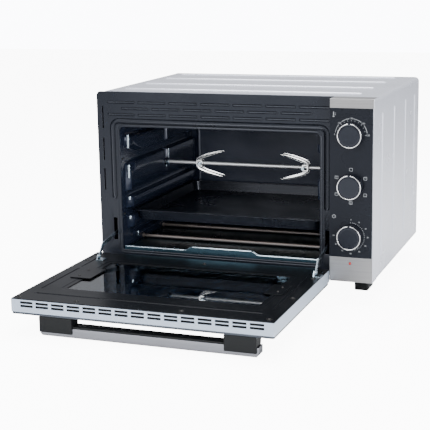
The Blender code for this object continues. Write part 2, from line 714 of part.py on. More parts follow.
def glass_clips(black, door):
    """Stepped plates that hold the inner glass at the left and right of the window."""
    for side, low_x, high_x, low_y, high_y in (("left", 0.038, 0.080, -0.2150, -0.1450),
                                               ("right", 0.411, 0.445, -0.2150, -0.1550)):
        shape = prism(rounded(low_x, low_y, high_x, high_y, 0.003, 2), "z", DOOR_TOP + GAP, 0.0206)
        add_object(f"glass_clip_{side}", shape, black, (low_x, low_y, DOOR_TOP), door)


HANDLE_LEFT = 0.054
HANDLE_RIGHT = 0.450
BRACKET_SPANS = {"left": (0.054, 0.116), "right": (0.391, 0.447)}
BAR_FRONT = -0.3600
BAR_REAR = -0.3380
BAR_TOP = -0.027
BAR_BOTTOM = -0.0436


def handle(black, silver, door):
    """Two brackets on the outer glass, the bar across them and the dark strip behind the bar."""
    for side, (low_x, high_x) in BRACKET_SPANS.items():
        outline = [(-0.3627, -0.037), (BAR_FRONT - GAP, -0.037), (BAR_FRONT - GAP, BAR_TOP + GAP),
                   (BAR_REAR, BAR_TOP + GAP), (BAR_REAR + 0.003, DOOR_BOTTOM - GAP), (-0.3627, DOOR_BOTTOM - GAP)]
        shape = prism(outline, "x", low_x, high_x)
        add_object(f"handle_bracket_{side}", shape, black, (low_x, BAR_REAR, DOOR_BOTTOM), door)
    bevel = 0.004
    outline = [(HANDLE_LEFT, BAR_BOTTOM + bevel), (HANDLE_LEFT + bevel, BAR_BOTTOM), (HANDLE_RIGHT - bevel, BAR_BOTTOM),
               (HANDLE_RIGHT, BAR_BOTTOM + bevel), (HANDLE_RIGHT, BAR_TOP), (HANDLE_LEFT, BAR_TOP)]
    add_object("handle_bar", prism(outline, "y", BAR_FRONT, BAR_REAR), silver,
               (HANDLE_LEFT, BAR_REAR, BAR_TOP), door)
    low = (BRACKET_SPANS["left"][1] + GAP, BAR_FRONT, BAR_TOP + GAP)
    high = (BRACKET_SPANS["right"][0] - GAP, BAR_REAR, -0.0232)
    add_object("handle_liner", box((low, high)), black, low, door)


def door_arms(steel, door):
    """A lug with a riveted pin on the door, and a flat cranked arm that runs back through the front sheet."""
    pin = (ARM_PIN_Y, ARM_PIN_Z)
    for side, x in zip(("left", "right"), ARM_CENTRES):
        face = x - ARM_THICKNESS / 2
        top_z = DOOR_TOP + GAP
        lug = [(pin[0] + 0.007, top_z), (pin[0] + 0.0035, pin[1])] + arc(pin, 0.0035, 0, 180, 6)[1:]
        lug += [(pin[0] - 0.007, top_z)]
        shape = prism(lug, "x", face - 0.0025, face - 0.0005)
        bracket = add_object(f"arm_lug_{side}", shape, steel, (x, *pin), door)
        foot_low = (face - 0.0025, pin[0] - 0.010, top_z)
        foot_high = (face + 0.012, pin[0] + 0.010, top_z + 0.001)
        cut(bracket, box((foot_low, foot_high)), "UNION")
        head = [(0, face - 0.0030), (PIN_RADIUS, face - 0.0030), (PIN_RADIUS, face + ARM_THICKNESS + 0.0005),
                (0.0028, face + ARM_THICKNESS + 0.0005), (0.0028, face + ARM_THICKNESS + 0.0015),
                (0, face + ARM_THICKNESS + 0.0015)]
        cut(bracket, turned(head, "x", pin, 12), "UNION")
        pivot = empty(f"arm_axis_{side}", (x, *pin))
        path = [pin, (-0.062, 0.045), (0.0, 0.055), (0.040, 0.0615)]
        arm = add_object(f"hinge_arm_{side}", prism(strip_outline(path, 0.0075), "x", face, face + ARM_THICKNESS),
                         steel, (x, *pin), pivot)
        cut(arm, rod("x", pin, PIN_RADIUS + GAP, x - 0.02, x + 0.02, 12))


def arm_springs(steel):
    """Tension springs low in the cabinet that pull the arms' inner ends."""
    coil_radius = 0.0035
    wire = 0.0006
    turns = 14
    start_y, end_y = 0.045, 0.110
    per_turn = 10
    sides = 5
    for side, x in zip(("left", "right"), (0.022, 0.4745)):
        made = bmesh.new()
        rings = []
        for i in range(turns * per_turn + 1):
            angle = 2 * math.pi * i / per_turn
            y = start_y + (end_y - start_y) * i / (turns * per_turn)
            out = Vector((math.cos(angle), 0, math.sin(angle)))
            middle = Vector((x, y, 0.055)) + out * coil_radius
            ring = []
            for k in range(sides):
                turn = 2 * math.pi * k / sides
                ring.append(made.verts.new(middle + wire * (math.cos(turn) * out + math.sin(turn) * Vector((0, 1, 0)))))
            rings.append(ring)
        for first, second in zip(rings, rings[1:]):
            for k in range(sides):
                m = (k + 1) % sides
                made.faces.new((first[k], first[m], second[m], second[k]))
        made.faces.new(list(reversed(rings[0])))
        made.faces.new(rings[-1])
        add_object(f"arm_spring_{side}", made, steel, (x, start_y, 0.055), smooth=True)


# ---------------------------------------------------------------- assembly
def build():
    clear_scene()
    white_steel = material("painted_casing", (0.72, 0.73, 0.75), 0.3, 0.42)
    silver = material("silver_plastic", (0.52, 0.53, 0.55), 0.6, 0.38)
    door_silver = material("door_silver", (0.62, 0.66, 0.70), 0.6, 0.35)
    dark_steel = material("dark_painted_sheet", (0.030, 0.034, 0.040), 0.2, 0.42)
    enamel = material("black_enamel", (0.012, 0.013, 0.016), 0.1, 0.35)
    black = material("black_plastic", (0.020, 0.022, 0.026), 0.0, 0.40)
    zinc_sheet = material("galvanised_sheet", (0.55, 0.58, 0.61), 0.9, 0.40)
    zinc = material("galvanised_tray", (0.55, 0.68, 0.74), 0.9, 0.30)
    steel = material("bright_steel", (0.60, 0.61, 0.63), 1.0, 0.30)
    chrome = material("chrome", (0.85, 0.85, 0.87), 1.0, 0.12)
    sheath = material("heater_sheath", (0.30, 0.27, 0.24), 0.7, 0.45)
    glass = material("clear_glass", (0.10, 0.13, 0.16), 0.0, 0.05)
    dark_glass = material("tinted_glass", (0.01, 0.012, 0.015), 0.0, 0.06)
    lens = material("red_lens", (0.55, 0.05, 0.04), 0.0, 0.15)

    outer_casing(white_steel)
    rear_cover(zinc_sheet)
    cable_gland(black)
    base_plate(zinc_sheet)
    feet(black)
    front_frame(dark_steel)
    liner(enamel)
    heaters(sheath)
    control_housing(silver)
    control_facia(black)
    indicator_lamp(lens)
    controls(zinc_sheet)
    knobs(black, chrome)
    spit(chrome, steel)
    drive_motor(zinc_sheet)
    for side, hub_x in FORK_HUBS.items():
        fork(f"spit_fork_{side}", hub_x, 1 if side == "left" else -1, chrome, steel)
    baking_tray(enamel)
    crumb_tray(zinc)
    door = empty("door_axis", (DOOR_LEFT, HINGE_Y, HINGE_Z))
    hinge_ears(steel)
    door_hinges(steel, door)
    door_frame(door_silver, door)
    door_panels(black, glass, dark_glass, door)
    glass_clips(black, door)
    handle(black, silver, door)
    door_arms(steel, door)
    arm_springs(steel)


build()
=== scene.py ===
# %% [markdown]
# # A rotisserie oven, one piece at a time
# The oven stands with its door let down. The working model already says where each part is and how it
# moves. This lesson gives every part its finished shape and surface, and rides it on the body it belongs
# to.

import json
import math

import bmesh
import bpy
from mathutils import Matrix, Vector

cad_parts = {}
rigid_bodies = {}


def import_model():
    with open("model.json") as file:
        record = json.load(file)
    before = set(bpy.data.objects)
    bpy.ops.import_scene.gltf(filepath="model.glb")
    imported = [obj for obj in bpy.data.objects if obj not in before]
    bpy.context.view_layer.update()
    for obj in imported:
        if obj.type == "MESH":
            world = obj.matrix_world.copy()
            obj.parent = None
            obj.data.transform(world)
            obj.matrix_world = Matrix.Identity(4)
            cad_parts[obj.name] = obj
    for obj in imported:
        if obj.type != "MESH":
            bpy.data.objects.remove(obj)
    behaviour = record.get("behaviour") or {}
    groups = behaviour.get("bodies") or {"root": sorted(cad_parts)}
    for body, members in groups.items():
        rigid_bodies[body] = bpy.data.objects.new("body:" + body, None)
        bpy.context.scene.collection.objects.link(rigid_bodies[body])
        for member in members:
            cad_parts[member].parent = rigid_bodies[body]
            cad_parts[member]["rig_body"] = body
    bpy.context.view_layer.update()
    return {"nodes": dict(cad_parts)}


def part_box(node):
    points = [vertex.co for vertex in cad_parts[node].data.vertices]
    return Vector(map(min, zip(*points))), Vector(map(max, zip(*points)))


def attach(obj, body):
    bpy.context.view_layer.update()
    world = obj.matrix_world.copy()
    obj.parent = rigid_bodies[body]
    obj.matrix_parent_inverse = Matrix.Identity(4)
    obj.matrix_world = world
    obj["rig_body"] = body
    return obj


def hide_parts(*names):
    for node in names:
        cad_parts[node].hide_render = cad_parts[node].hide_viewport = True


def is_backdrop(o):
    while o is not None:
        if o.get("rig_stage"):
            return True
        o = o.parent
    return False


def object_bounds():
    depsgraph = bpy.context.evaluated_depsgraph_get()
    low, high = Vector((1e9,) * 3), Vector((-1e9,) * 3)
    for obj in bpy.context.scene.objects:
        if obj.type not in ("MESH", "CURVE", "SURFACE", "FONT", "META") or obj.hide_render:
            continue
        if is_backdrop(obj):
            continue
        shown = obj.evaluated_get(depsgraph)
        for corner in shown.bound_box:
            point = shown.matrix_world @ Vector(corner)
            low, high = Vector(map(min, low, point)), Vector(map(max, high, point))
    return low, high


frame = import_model()
nodes = frame["nodes"]


def plain_box():
    """The whole object's box as two plain lists."""
    return [[float(number) for number in corner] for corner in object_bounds()]


# %% [markdown]
# ## Where things are
# A sheet-metal worker measures from one corner of the cabinet, so every size below is in millimetres from
# the cabinet's lower left front corner: x to the right, y to the back, z up.

# %% Millimetres from the cabinet's corner
MM = 0.001
ORIGIN = Vector((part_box("outer_casing")[0].x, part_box("front_frame")[0].y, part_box("outer_casing")[0].z))


def at(x, y, z):
    """A place on the oven, from the corner in millimetres to the world in metres."""
    return ORIGIN + Vector((x, y, z)) * MM


def span(node):
    """A node's lowest and highest corners in millimetres from the cabinet's corner."""
    return [(corner - ORIGIN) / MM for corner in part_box(node)]


WIDTH = span("outer_casing")[1].x
HEIGHT = span("outer_casing")[1].z
REAR = span("outer_casing")[1].y
print("cabinet", round(WIDTH), round(REAR), round(HEIGHT), "mm")

# %% [markdown]
# ## The camera
# The camera stands to the right of the oven's middle, looks slightly down and leans by about a degree. Its
# turn is worked out from those three angles, which are easy to read and to change. A constraint that tracks
# a point could aim it as well, but it would leave no room for the lean.

# %% Camera
CAMERA_PLACE = (1006.5, -2020.0, 573.2)
AZIMUTH = math.radians(20.58)
ELEVATION = math.radians(12.25)
ROLL = math.radians(-1.05)


def aim(azimuth, elevation, roll):
    """The turn of a camera that looks along the given angles."""
    back = Vector((math.sin(azimuth) * math.cos(elevation), -math.cos(azimuth) * math.cos(elevation),
                   math.sin(elevation)))
    right = Vector((math.cos(azimuth), math.sin(azimuth), 0))
    up = back.cross(right)
    side = right * math.cos(roll) + up * math.sin(roll)
    top = up * math.cos(roll) - right * math.sin(roll)
    return Matrix((side, top, back)).transposed().to_4x4()


lens = bpy.data.cameras.new("camera")
lens.sensor_width = 36
lens.lens = 96.1
lens.shift_x = -0.00502
lens.shift_y = -0.0015
camera = bpy.data.objects.new("camera", lens)
camera.matrix_world = Matrix.Translation(at(*CAMERA_PLACE)) @ aim(AZIMUTH, ELEVATION, ROLL)
bpy.context.scene.collection.objects.link(camera)
bpy.context.scene.camera = camera
print("camera", CAMERA_PLACE, "mm from the corner")

# %% [markdown]
# ## Light
# Dark enamel only shows its shape by what it mirrors, so the oven stands under broad square lamps: one
# overhead, a weak one in front on the left, and two from the right, the lower of which reaches into the
# cavity. The world is dim and cool for every surface it lights. Where the camera looks straight at it, it
# is bright white, so the ground behind the oven is white without washing out the black parts. Light Path
# tells the two apart.


# %% Light
def softbox(name, place, target, size, power):
    """A square lamp aimed at a point."""
    lamp = bpy.data.lights.new(name, "AREA")
    lamp.size = size
    lamp.energy = power
    made = bpy.data.objects.new(name, lamp)
    made.location = at(*place)
    made.rotation_euler = (at(*target) - at(*place)).to_track_quat("-Z", "Y").to_euler()
    bpy.context.scene.collection.objects.link(made)


MIDDLE = (240, 0, 120)
softbox("overhead", (250, 160, 1900), MIDDLE, 1.7, 72)
softbox("front_fill", (-300, -2300, 1100), MIDDLE, 1.2, 34)
softbox("right_fill", (2400, 250, 700), MIDDLE, 1.5, 26)
softbox("cavity_fill", (1900, -1900, 420), MIDDLE, 0.9, 34)
print("lamps", len(bpy.data.lights))

# %% World
WORLD_LIGHT = 0.62
BACKDROP = 12.0
SKY_COLOUR = (0.93, 0.945, 1.0, 1)


def camera_only(tree, low, high):
    """A value that is high where the camera looks straight at the surface, and low for all other light."""
    path = tree.nodes.new("ShaderNodeLightPath")
    spread = tree.nodes.new("ShaderNodeMapRange")
    spread.inputs["To Min"].default_value = low
    spread.inputs["To Max"].default_value = high
    tree.links.new(path.outputs["Is Camera Ray"], spread.inputs["Value"])
    return spread.outputs["Result"]


sky = bpy.data.worlds.new("studio")
sky.use_nodes = True
backdrop = sky.node_tree.nodes["Background"]
backdrop.inputs["Color"].default_value = SKY_COLOUR
sky.node_tree.links.new(camera_only(sky.node_tree, WORLD_LIGHT, BACKDROP), backdrop.inputs["Strength"])
bpy.context.scene.world = sky
print("world light", WORLD_LIGHT, "backdrop", BACKDROP)

# %% [markdown]
# ## Effects that several finishes share
# Paint, plastic and plated steel all have small faults that make them look real. Each fault is made once as
# a group: a fine grain, the lines left by a brush or a rolling mill, and the faint patches left by hands.


# %% Shader groups
def group(name, inputs, outputs):
    """An empty shader group with named sockets.  Returns the tree with its input and output nodes."""
    tree = bpy.data.node_groups.new(name, "ShaderNodeTree")
    for label, kind, value in inputs:
        socket = tree.interface.new_socket(label, in_out="INPUT", socket_type=kind)
        socket.default_value = value
    for label in outputs:
        tree.interface.new_socket(label, in_out="OUTPUT", socket_type="NodeSocketFloat")
    return tree, tree.nodes.new("NodeGroupInput"), tree.nodes.new("NodeGroupOutput")


def noise(tree, scale=None, detail=3.0):
    """A noise texture read in object coordinates.  Returns the mapping and the noise."""
    place = tree.nodes.new("ShaderNodeTexCoord")
    mapping = tree.nodes.new("ShaderNodeMapping")
    texture = tree.nodes.new("ShaderNodeTexNoise")
    texture.inputs["Detail"].default_value = detail
    if scale:
        texture.inputs["Scale"].default_value = scale
    tree.links.new(place.outputs["Object"], mapping.inputs["Vector"])
    tree.links.new(mapping.outputs["Vector"], texture.inputs["Vector"])
    return mapping, texture


def fine_grain():
    """Orange peel in paint or the sparkle of a moulded surface, by its size."""
    tree, start, end = group("fine_grain", [("Scale", "NodeSocketFloat", 900.0)], ["Height", "Mask"])
    _, texture = noise(tree)
    tree.links.new(start.outputs["Scale"], texture.inputs["Scale"])
    steep = tree.nodes.new("ShaderNodeMapRange")
    steep.inputs["From Min"].default_value = 0.35
    steep.inputs["From Max"].default_value = 0.65
    tree.links.new(texture.outputs["Fac"], end.inputs["Height"])
    tree.links.new(texture.outputs["Fac"], steep.inputs["Value"])
    tree.links.new(steep.outputs["Result"], end.inputs["Mask"])
    return tree


def drawn_lines():
    """Lines that run one way, as a brush or a rolling mill leaves them."""
    inputs = [("Stretch", "NodeSocketVector", (4, 900, 900))]
    tree, start, end = group("drawn_lines", inputs, ["Height", "Mask"])
    mapping, texture = noise(tree, 1.0, 4.0)
    tree.links.new(start.outputs["Stretch"], mapping.inputs["Scale"])
    steep = tree.nodes.new("ShaderNodeMapRange")
    steep.inputs["From Min"].default_value = 0.3
    steep.inputs["From Max"].default_value = 0.7
    tree.links.new(texture.outputs["Fac"], end.inputs["Height"])
    tree.links.new(texture.outputs["Fac"], steep.inputs["Value"])
    tree.links.new(steep.outputs["Result"], end.inputs["Mask"])
    return tree


def handling():
    """Broad faint patches where a surface has been touched, wiped or warmed."""
    tree, start, end = group("handling", [("Scale", "NodeSocketFloat", 9.0)], ["Mask"])
    _, texture = noise(tree, None, 6.0)
    tree.links.new(start.outputs["Scale"], texture.inputs["Scale"])
    texture.inputs["Distortion"].default_value = 0.4
    steep = tree.nodes.new("ShaderNodeMapRange")
    steep.inputs["From Min"].default_value = 0.4
    steep.inputs["From Max"].default_value = 0.68
    tree.links.new(texture.outputs["Fac"], steep.inputs["Value"])
    tree.links.new(steep.outputs["Result"], end.inputs["Mask"])
    return tree


GRAIN = fine_grain()
LINES = drawn_lines()
PATCHES = handling()
print("shader groups", [tree.name for tree in (GRAIN, LINES, PATCHES)])

# %% [markdown]
# ## One recipe for a finish
# A finish is two near colours that the patches mix, a low and a high roughness, and a bump from the grain
# or the lines. Values that are the same all over, such as the metal amount, go straight on the shader.


# %% A recipe for finishes
RELIEF_DEPTH = 0.0002
USUAL_GRAIN = 900.0


def finish(name, colours, rough, metallic=0.0, grain=None, lines=None, bump=0.1, patch=9.0, **plain):
    """A material: colours and rough are (usual, at the patches), grain a scale, lines a stretch."""
    made = bpy.data.materials.new(name)
    made.use_nodes = True
    tree = made.node_tree
    shader = tree.nodes["Principled BSDF"]
    shader.inputs["Metallic"].default_value = metallic
    for socket, value in plain.items():
        shader.inputs[socket.replace("_", " ")].default_value = value
    texture = tree.nodes.new("ShaderNodeGroup")
    texture.node_tree = LINES if lines else GRAIN
    if lines:
        texture.inputs["Stretch"].default_value = lines
    else:
        texture.inputs["Scale"].default_value = grain or USUAL_GRAIN
    touched = tree.nodes.new("ShaderNodeGroup")
    touched.node_tree = PATCHES
    touched.inputs["Scale"].default_value = patch
    amount = texture.outputs["Mask"]
    if not lines:
        both = tree.nodes.new("ShaderNodeMath")
        both.operation = "MULTIPLY"
        tree.links.new(touched.outputs["Mask"], both.inputs[0])
        tree.links.new(texture.outputs["Mask"], both.inputs[1])
        amount = both.outputs[0]
    tone = tree.nodes.new("ShaderNodeMix")
    tone.data_type = "RGBA"
    tone.inputs["A"].default_value = (*colours[0], 1)
    tone.inputs["B"].default_value = (*colours[1], 1)
    tree.links.new(amount, tone.inputs["Factor"])
    tree.links.new(tone.outputs["Result"], shader.inputs["Base Color"])
    spread = tree.nodes.new("ShaderNodeMapRange")
    spread.inputs["To Min"].default_value = rough[0]
    spread.inputs["To Max"].default_value = rough[1]
    tree.links.new(touched.outputs["Mask"], spread.inputs["Value"])
    tree.links.new(spread.outputs["Result"], shader.inputs["Roughness"])
    relief = tree.nodes.new("ShaderNodeBump")
    relief.inputs["Strength"].default_value = bump
    relief.inputs["Distance"].default_value = RELIEF_DEPTH
    tree.links.new(texture.outputs["Height"], relief.inputs["Height"])
    tree.links.new(relief.outputs["Normal"], shader.inputs["Normal"])
    return made


def grey(level, warm=0.0):
    """A grey with a little warmth or, below nothing, coolness."""
    return (level * (1 + warm), level, level * (1 - warm))


COOL = (0.84, 0.88, 1.0, 1)
ACROSS_X = (6, 1400, 1400)
ALONG_Y = (1400, 6, 1400)
print("lines across", ACROSS_X, "or along", ALONG_Y)

# %% [markdown]
# ## Finishes of the cabinet
# The casing is steel sprayed with silver paint: metal flakes under a clear coat. The back and base are
# plain zinc-plated sheet, whose broad spangle comes from a coarse grain. The front is a satin black with
# the orange peel of sprayed paint. The cavity is dipped in enamel, a glass, so it is smoother and glossier
# than paint.

# %% Cabinet finishes
casing_paint = finish("casing_paint", ((0.64, 0.665, 0.755), (0.6, 0.625, 0.71)), (0.22, 0.29), 0.4,
                      grain=1600, bump=0.05, Coat_Weight=0.3, Coat_Roughness=0.08)
zinc_sheet = finish("zinc_sheet", (grey(0.42, -0.04), grey(0.54, -0.04)), (0.34, 0.5), 1.0, grain=120,
                    bump=0.06)
black_plastic = finish("black_plastic", (grey(0.007, -0.12), grey(0.010, -0.12)), (0.42, 0.5), grain=2600,
                       bump=0.25, Specular_IOR_Level=0.22)
frame_paint = finish("frame_paint", ((0.0062, 0.0078, 0.0115), (0.008, 0.0098, 0.014)), (0.26, 0.34),
                     grain=2200, bump=0.16, Specular_IOR_Level=0.4, Specular_Tint=COOL)
cavity_enamel = finish("cavity_enamel", ((0.0125, 0.018, 0.034), (0.015, 0.021, 0.039)), (0.2, 0.24),
                       grain=1500, bump=0.04, Specular_Tint=COOL)
heater_sheath = finish("heater_sheath", ((0.22, 0.19, 0.175), (0.28, 0.24, 0.22)), (0.34, 0.45), 0.6,
                       grain=700, patch=40)
print("cabinet finishes", len(bpy.data.materials))

# %% [markdown]
# ## Finishes of the control panel
# The housing is brushed along its width, so its lines run one way and its highlight spreads the other way.
# The facia is gloss black with pale ink on it. The switches and the motor behind it are plain moulded
# plastic and pressed steel, and the bright strips are rolled stainless steel.

# %% Panel finishes
panel_silver = finish("panel_silver", ((0.30, 0.297, 0.30), (0.36, 0.356, 0.358)), (0.3, 0.36), 0.9,
                      lines=ACROSS_X, bump=0.1)
facia_black = finish("facia_black", ((0.006, 0.0072, 0.0103), (0.0075, 0.009, 0.0125)), (0.26, 0.32),
                     grain=2600, bump=0.06, Specular_IOR_Level=0.22, Specular_Tint=COOL)
print_white = finish("print_white", (grey(0.36, -0.05), grey(0.32, -0.05)), (0.5, 0.55), grain=2600)
lamp_lens = finish("lamp_lens", ((0.42, 0.02, 0.02), (0.5, 0.04, 0.03)), (0.08, 0.12), grain=2600, bump=0.05,
                   Coat_Weight=0.6)
switch_body = finish("switch_body", (grey(0.16, 0.12), grey(0.2, 0.12)), (0.5, 0.6), grain=1800)
motor_can = finish("motor_can", (grey(0.4), grey(0.46)), (0.36, 0.46), 0.9, grain=300)
bright_steel = finish("bright_steel", ((0.46, 0.56, 0.64), (0.56, 0.66, 0.73)), (0.2, 0.28), 1.0,
                      lines=ALONG_Y, bump=0.05)
print("with the panel's", len(bpy.data.materials))

# %% [markdown]
# ## Finishes of the door and the knobs
# The door's frame is silver paint with less metal in it than the casing's. Its inside is black enamel with
# little shine, the handle is drawn aluminium, and the knobs are gloss black with a chromed ring.

# %% Door and knob finishes
door_silver = finish("door_silver", ((0.46, 0.54, 0.66), (0.5, 0.58, 0.7)), (0.3, 0.38), 0.3, grain=2200,
                     bump=0.08)
panel_enamel = finish("panel_enamel", ((0.003, 0.0035, 0.0046), (0.0042, 0.0049, 0.006)), (0.28, 0.36),
                      grain=1900, bump=0.12, Specular_IOR_Level=0.12, Specular_Tint=COOL)
handle_silver = finish("handle_silver", ((0.245, 0.25, 0.275), (0.3, 0.305, 0.33)), (0.28, 0.34), 0.95,
                       lines=ACROSS_X, bump=0.1)
knob_black = finish("knob_black", ((0.0075, 0.0092, 0.0135), (0.009, 0.011, 0.016)), (0.14, 0.2), grain=2600,
                    bump=0.04, Specular_IOR_Level=0.34, Specular_Tint=COOL)
knob_ring_chrome = finish("knob_ring_chrome", (grey(0.8), grey(0.84)), (0.1, 0.16), 1.0, grain=2600,
                          bump=0.03)
print("with the door's", len(bpy.data.materials))

# %% [markdown]
# ## Finishes of the loose parts, the screws and the glass
# The forks are chromed and the rod is ground steel, rougher and paler. The baking tray is enamelled and the
# crumb tray is zinc-plated, with its zinc darkened by painted shade from the cavity above it. The outer
# glass is tinted almost black with a clear face, and the window is clear glass that light passes through.
# The floor is a matt white.

# %% Loose parts, screws, glass and floor
spit_chrome = finish("spit_chrome", (grey(0.84), grey(0.9)), (0.22, 0.28), 1.0, lines=ACROSS_X, bump=0.02)
rod_steel = finish("rod_steel", (grey(0.86, -0.02), grey(0.92, -0.02)), (0.36, 0.44), 0.7, lines=ACROSS_X,
                   bump=0.02)
tray_enamel = finish("tray_enamel", ((0.0045, 0.0062, 0.0105), (0.006, 0.008, 0.0135)), (0.26, 0.34),
                     grain=1700, bump=0.1, Specular_IOR_Level=0.35, Specular_Tint=COOL)
# Painted shade: the crumb tray's zinc is darkened well below zinc plate, to stand in for the black cavity
# that it lies under and mirrors. Its blue cast is the plating's own.
tray_zinc = finish("tray_zinc", ((0.055, 0.11, 0.15), (0.075, 0.145, 0.19)), (0.26, 0.34), 1.0,
                   lines=ACROSS_X, bump=0.03)
screw_steel = finish("screw_steel", (grey(0.3), grey(0.36)), (0.3, 0.4), 1.0, grain=1400)
screw_black = finish("screw_black", (grey(0.02), grey(0.03)), (0.26, 0.36), 0.6, grain=1400)
dark_glass = finish("dark_glass", ((0.009, 0.017, 0.032), (0.011, 0.02, 0.036)), (0.03, 0.05), grain=500,
                    bump=0.01, IOR=1.5, Coat_Weight=0.5, Coat_Roughness=0.02)
clear_glass = finish("clear_glass", ((0.5, 0.56, 0.6), (0.52, 0.58, 0.62)), (0.01, 0.02), grain=500,
                     bump=0.005, IOR=1.5, Transmission_Weight=1.0)
floor_white = finish("floor_white", (grey(0.9, -0.005), grey(0.88, -0.005)), (0.6, 0.7), grain=60, bump=0.02)
print("finishes", len(bpy.data.materials))

# %% [markdown]
# ## Hands and tools
# Sheet parts are outlines with holes. A ring of points goes round each edge, strips join one ring to the
# next, and the flat between them is filled. A spare flat ring beside every bend keeps the flat looking
# flat. A Boolean could punch the holes instead, but the rings give every hole its rolled lip at the same
# time.


# %% Rings, strips and fills
SMALLEST_RADIUS = 0.01
SAME_PLACE = 0.0005


def put(made, points, place, depth):
    """A ring of corners at one depth."""
    return [made.verts.new(place(u, v, depth)) for u, v in points]


def strip(made, first, second):
    """Join two rings with a band of faces."""
    for i in range(len(first)):
        j = (i + 1) % len(first)
        made.faces.new((first[i], first[j], second[j], second[i]))


def bands(made, rings, place):
    """Rings of (points, depth) joined one after another.  Returns the first ring and the last."""
    loops = [put(made, points, place, depth) for points, depth in rings]
    for first, second in zip(loops, loops[1:]):
        strip(made, first, second)
    return loops[0], loops[-1]


def fill(made, loops):
    """The flat inside the first ring and outside the others."""
    edges = []
    for loop in loops:
        for i in range(len(loop)):
            pair = (loop[i - 1], loop[i])
            edges.append(made.edges.get(pair) or made.edges.new(pair))
    bmesh.ops.triangle_fill(made, use_beauty=True, use_dissolve=False, edges=edges)


def rounded(low_u, low_v, high_u, high_v, radii, steps=5):
    """A box outline with rounded corners.  radii are low left, low right, high right, high left."""
    points = []
    corners = [(low_u, low_v, 180), (high_u, low_v, 270), (high_u, high_v, 0), (low_u, high_v, 90)]
    for (u, v, start), radius in zip(corners, radii):
        radius = max(radius, SMALLEST_RADIUS)
        centre_u = u + radius if u == low_u else u - radius
        centre_v = v + radius if v == low_v else v - radius
        for i in range(steps + 1):
            angle = math.radians(start + 90 * i / steps)
            points.append((centre_u + radius * math.cos(angle), centre_v + radius * math.sin(angle)))
    return points


print("a rounded corner has", len(rounded(0, 0, 1, 1, [0.1] * 4)) // 4, "points")


# %% Outlines for holes and slots
def grown_box(low_u, low_v, high_u, high_v, radii, more):
    """The same outline, further out by more."""
    return rounded(low_u - more, low_v - more, high_u + more, high_v + more,
                   [max(radius + more, SMALLEST_RADIUS) for radius in radii])


def stadium(path, half, steps=6):
    """A rounded band of the given half width along a path."""
    count = len(path)
    sides = []
    for i in range(count):
        before = Vector(path[max(i - 1, 0)])
        after = Vector(path[min(i + 1, count - 1)])
        along = (after - before).normalized()
        sides.append(Vector((-along.y, along.x)))
    left = [Vector(p) + s * half for p, s in zip(path, sides)]
    right = [Vector(p) - s * half for p, s in zip(path, sides)]

    def cap(centre, side):
        turns = [math.pi * i / steps for i in range(1, steps)]
        ahead = Vector((side.y, -side.x))
        return [Vector(centre) + (side * math.cos(t) + ahead * math.sin(t)) * half for t in turns]

    return left + cap(path[-1], sides[-1]) + right[::-1] + cap(path[0], -sides[0])


# %% Slots and channels in a sheet
SPARE_BESIDE_SLOT = 0.5
SPARE_BESIDE_CHANNEL = 0.6
CHANNEL_SHAPE = [(1.0, 0.0), (0.96, 0.1), (0.86, 0.42), (0.66, 0.78), (0.36, 0.96), (0.0, 1.0)]


def slot_rings(path, half, edge, thickness):
    """A slot pressed through a sheet, with a rolled lip."""
    return [(stadium(path, half + SPARE_BESIDE_SLOT), 0), (stadium(path, half), 0),
            (stadium(path, half - edge * 0.4), edge * 0.35), (stadium(path, half - edge), edge),
            (stadium(path, half - edge), thickness)]


def channel_rings(path, half, depth, thickness):
    """A half-round channel pressed into a sheet, as its front rings and its back rings."""
    wide = half + SPARE_BESIDE_CHANNEL
    front = [(stadium(path, wide), 0)] + [(stadium(path, half * k), depth * d) for k, d in CHANNEL_SHAPE]
    back = [(stadium(path, wide * k), thickness + depth * d) for k, d in CHANNEL_SHAPE]
    return front, back


def pressed(place, outer, slots=(), channels=()):
    """A pressed sheet: outer and slots are ring lists, front to back; channels are pairs of ring lists."""
    made = bmesh.new()
    pairs = [bands(made, outer, place)] + [bands(made, rings, place) for rings in slots]
    fronts = [first for first, _ in pairs]
    backs = [last for _, last in pairs]
    for front, back in channels:
        fronts.append(bands(made, front, place)[0])
        backs.append(bands(made, back, place)[0])
    fill(made, fronts)
    fill(made, backs)
    bmesh.ops.remove_doubles(made, verts=made.verts, dist=SAME_PLACE)
    return made


print("sheet tools ready, corners no sharper than", SMALLEST_RADIUS, "mm")

# %% [markdown]
# ## Lofts, turned parts and skins
# Bars, blades and rings are outlines joined one after another, which is a loft. Knobs, lamps and screw
# heads are turned, as on a lathe. A wall that is pressed all over is a skin: one surface for its front and
# one for its back, each given by a rule, and joined round the edge. A shape given by a rule stays exact
# however finely it is divided, which a shape pushed about by hand does not.


# %% Lofts, turned parts and formed skins
def loft(made, loops, joined=False):
    """A body through closed loops of places, with its ends filled unless they are joined."""
    rings = [[made.verts.new(point) for point in loop] for loop in loops]
    for first, second in zip(rings, rings[1:] + (rings[:1] if joined else [])):
        strip(made, first, second)
    if not joined:
        made.faces.new(rings[0])
        made.faces.new(rings[-1])


def turned(made, profile, centre, axis, segments=48):
    """A lathe part.  profile is (radius, place along the axis); axis is x, y or z."""
    others = {"x": (1, 2), "y": (0, 2), "z": (0, 1)}[axis]
    along = "xyz".index(axis)
    rings = []
    for radius, distance in profile:
        base = Vector(centre)
        base[along] = distance
        if radius == 0:
            rings.append([made.verts.new(base)])
            continue
        ring = []
        for i in range(segments):
            angle = 2 * math.pi * i / segments
            point = base.copy()
            point[others[0]] += radius * math.cos(angle)
            point[others[1]] += radius * math.sin(angle)
            ring.append(made.verts.new(point))
        rings.append(ring)
    for first, second in zip(rings, rings[1:]):
        if len(first) == 1:
            first, second = second, first
        if len(second) == 1:
            for i in range(segments):
                made.faces.new((first[i], first[(i + 1) % segments], second[0]))
        else:
            strip(made, first, second)
    return made


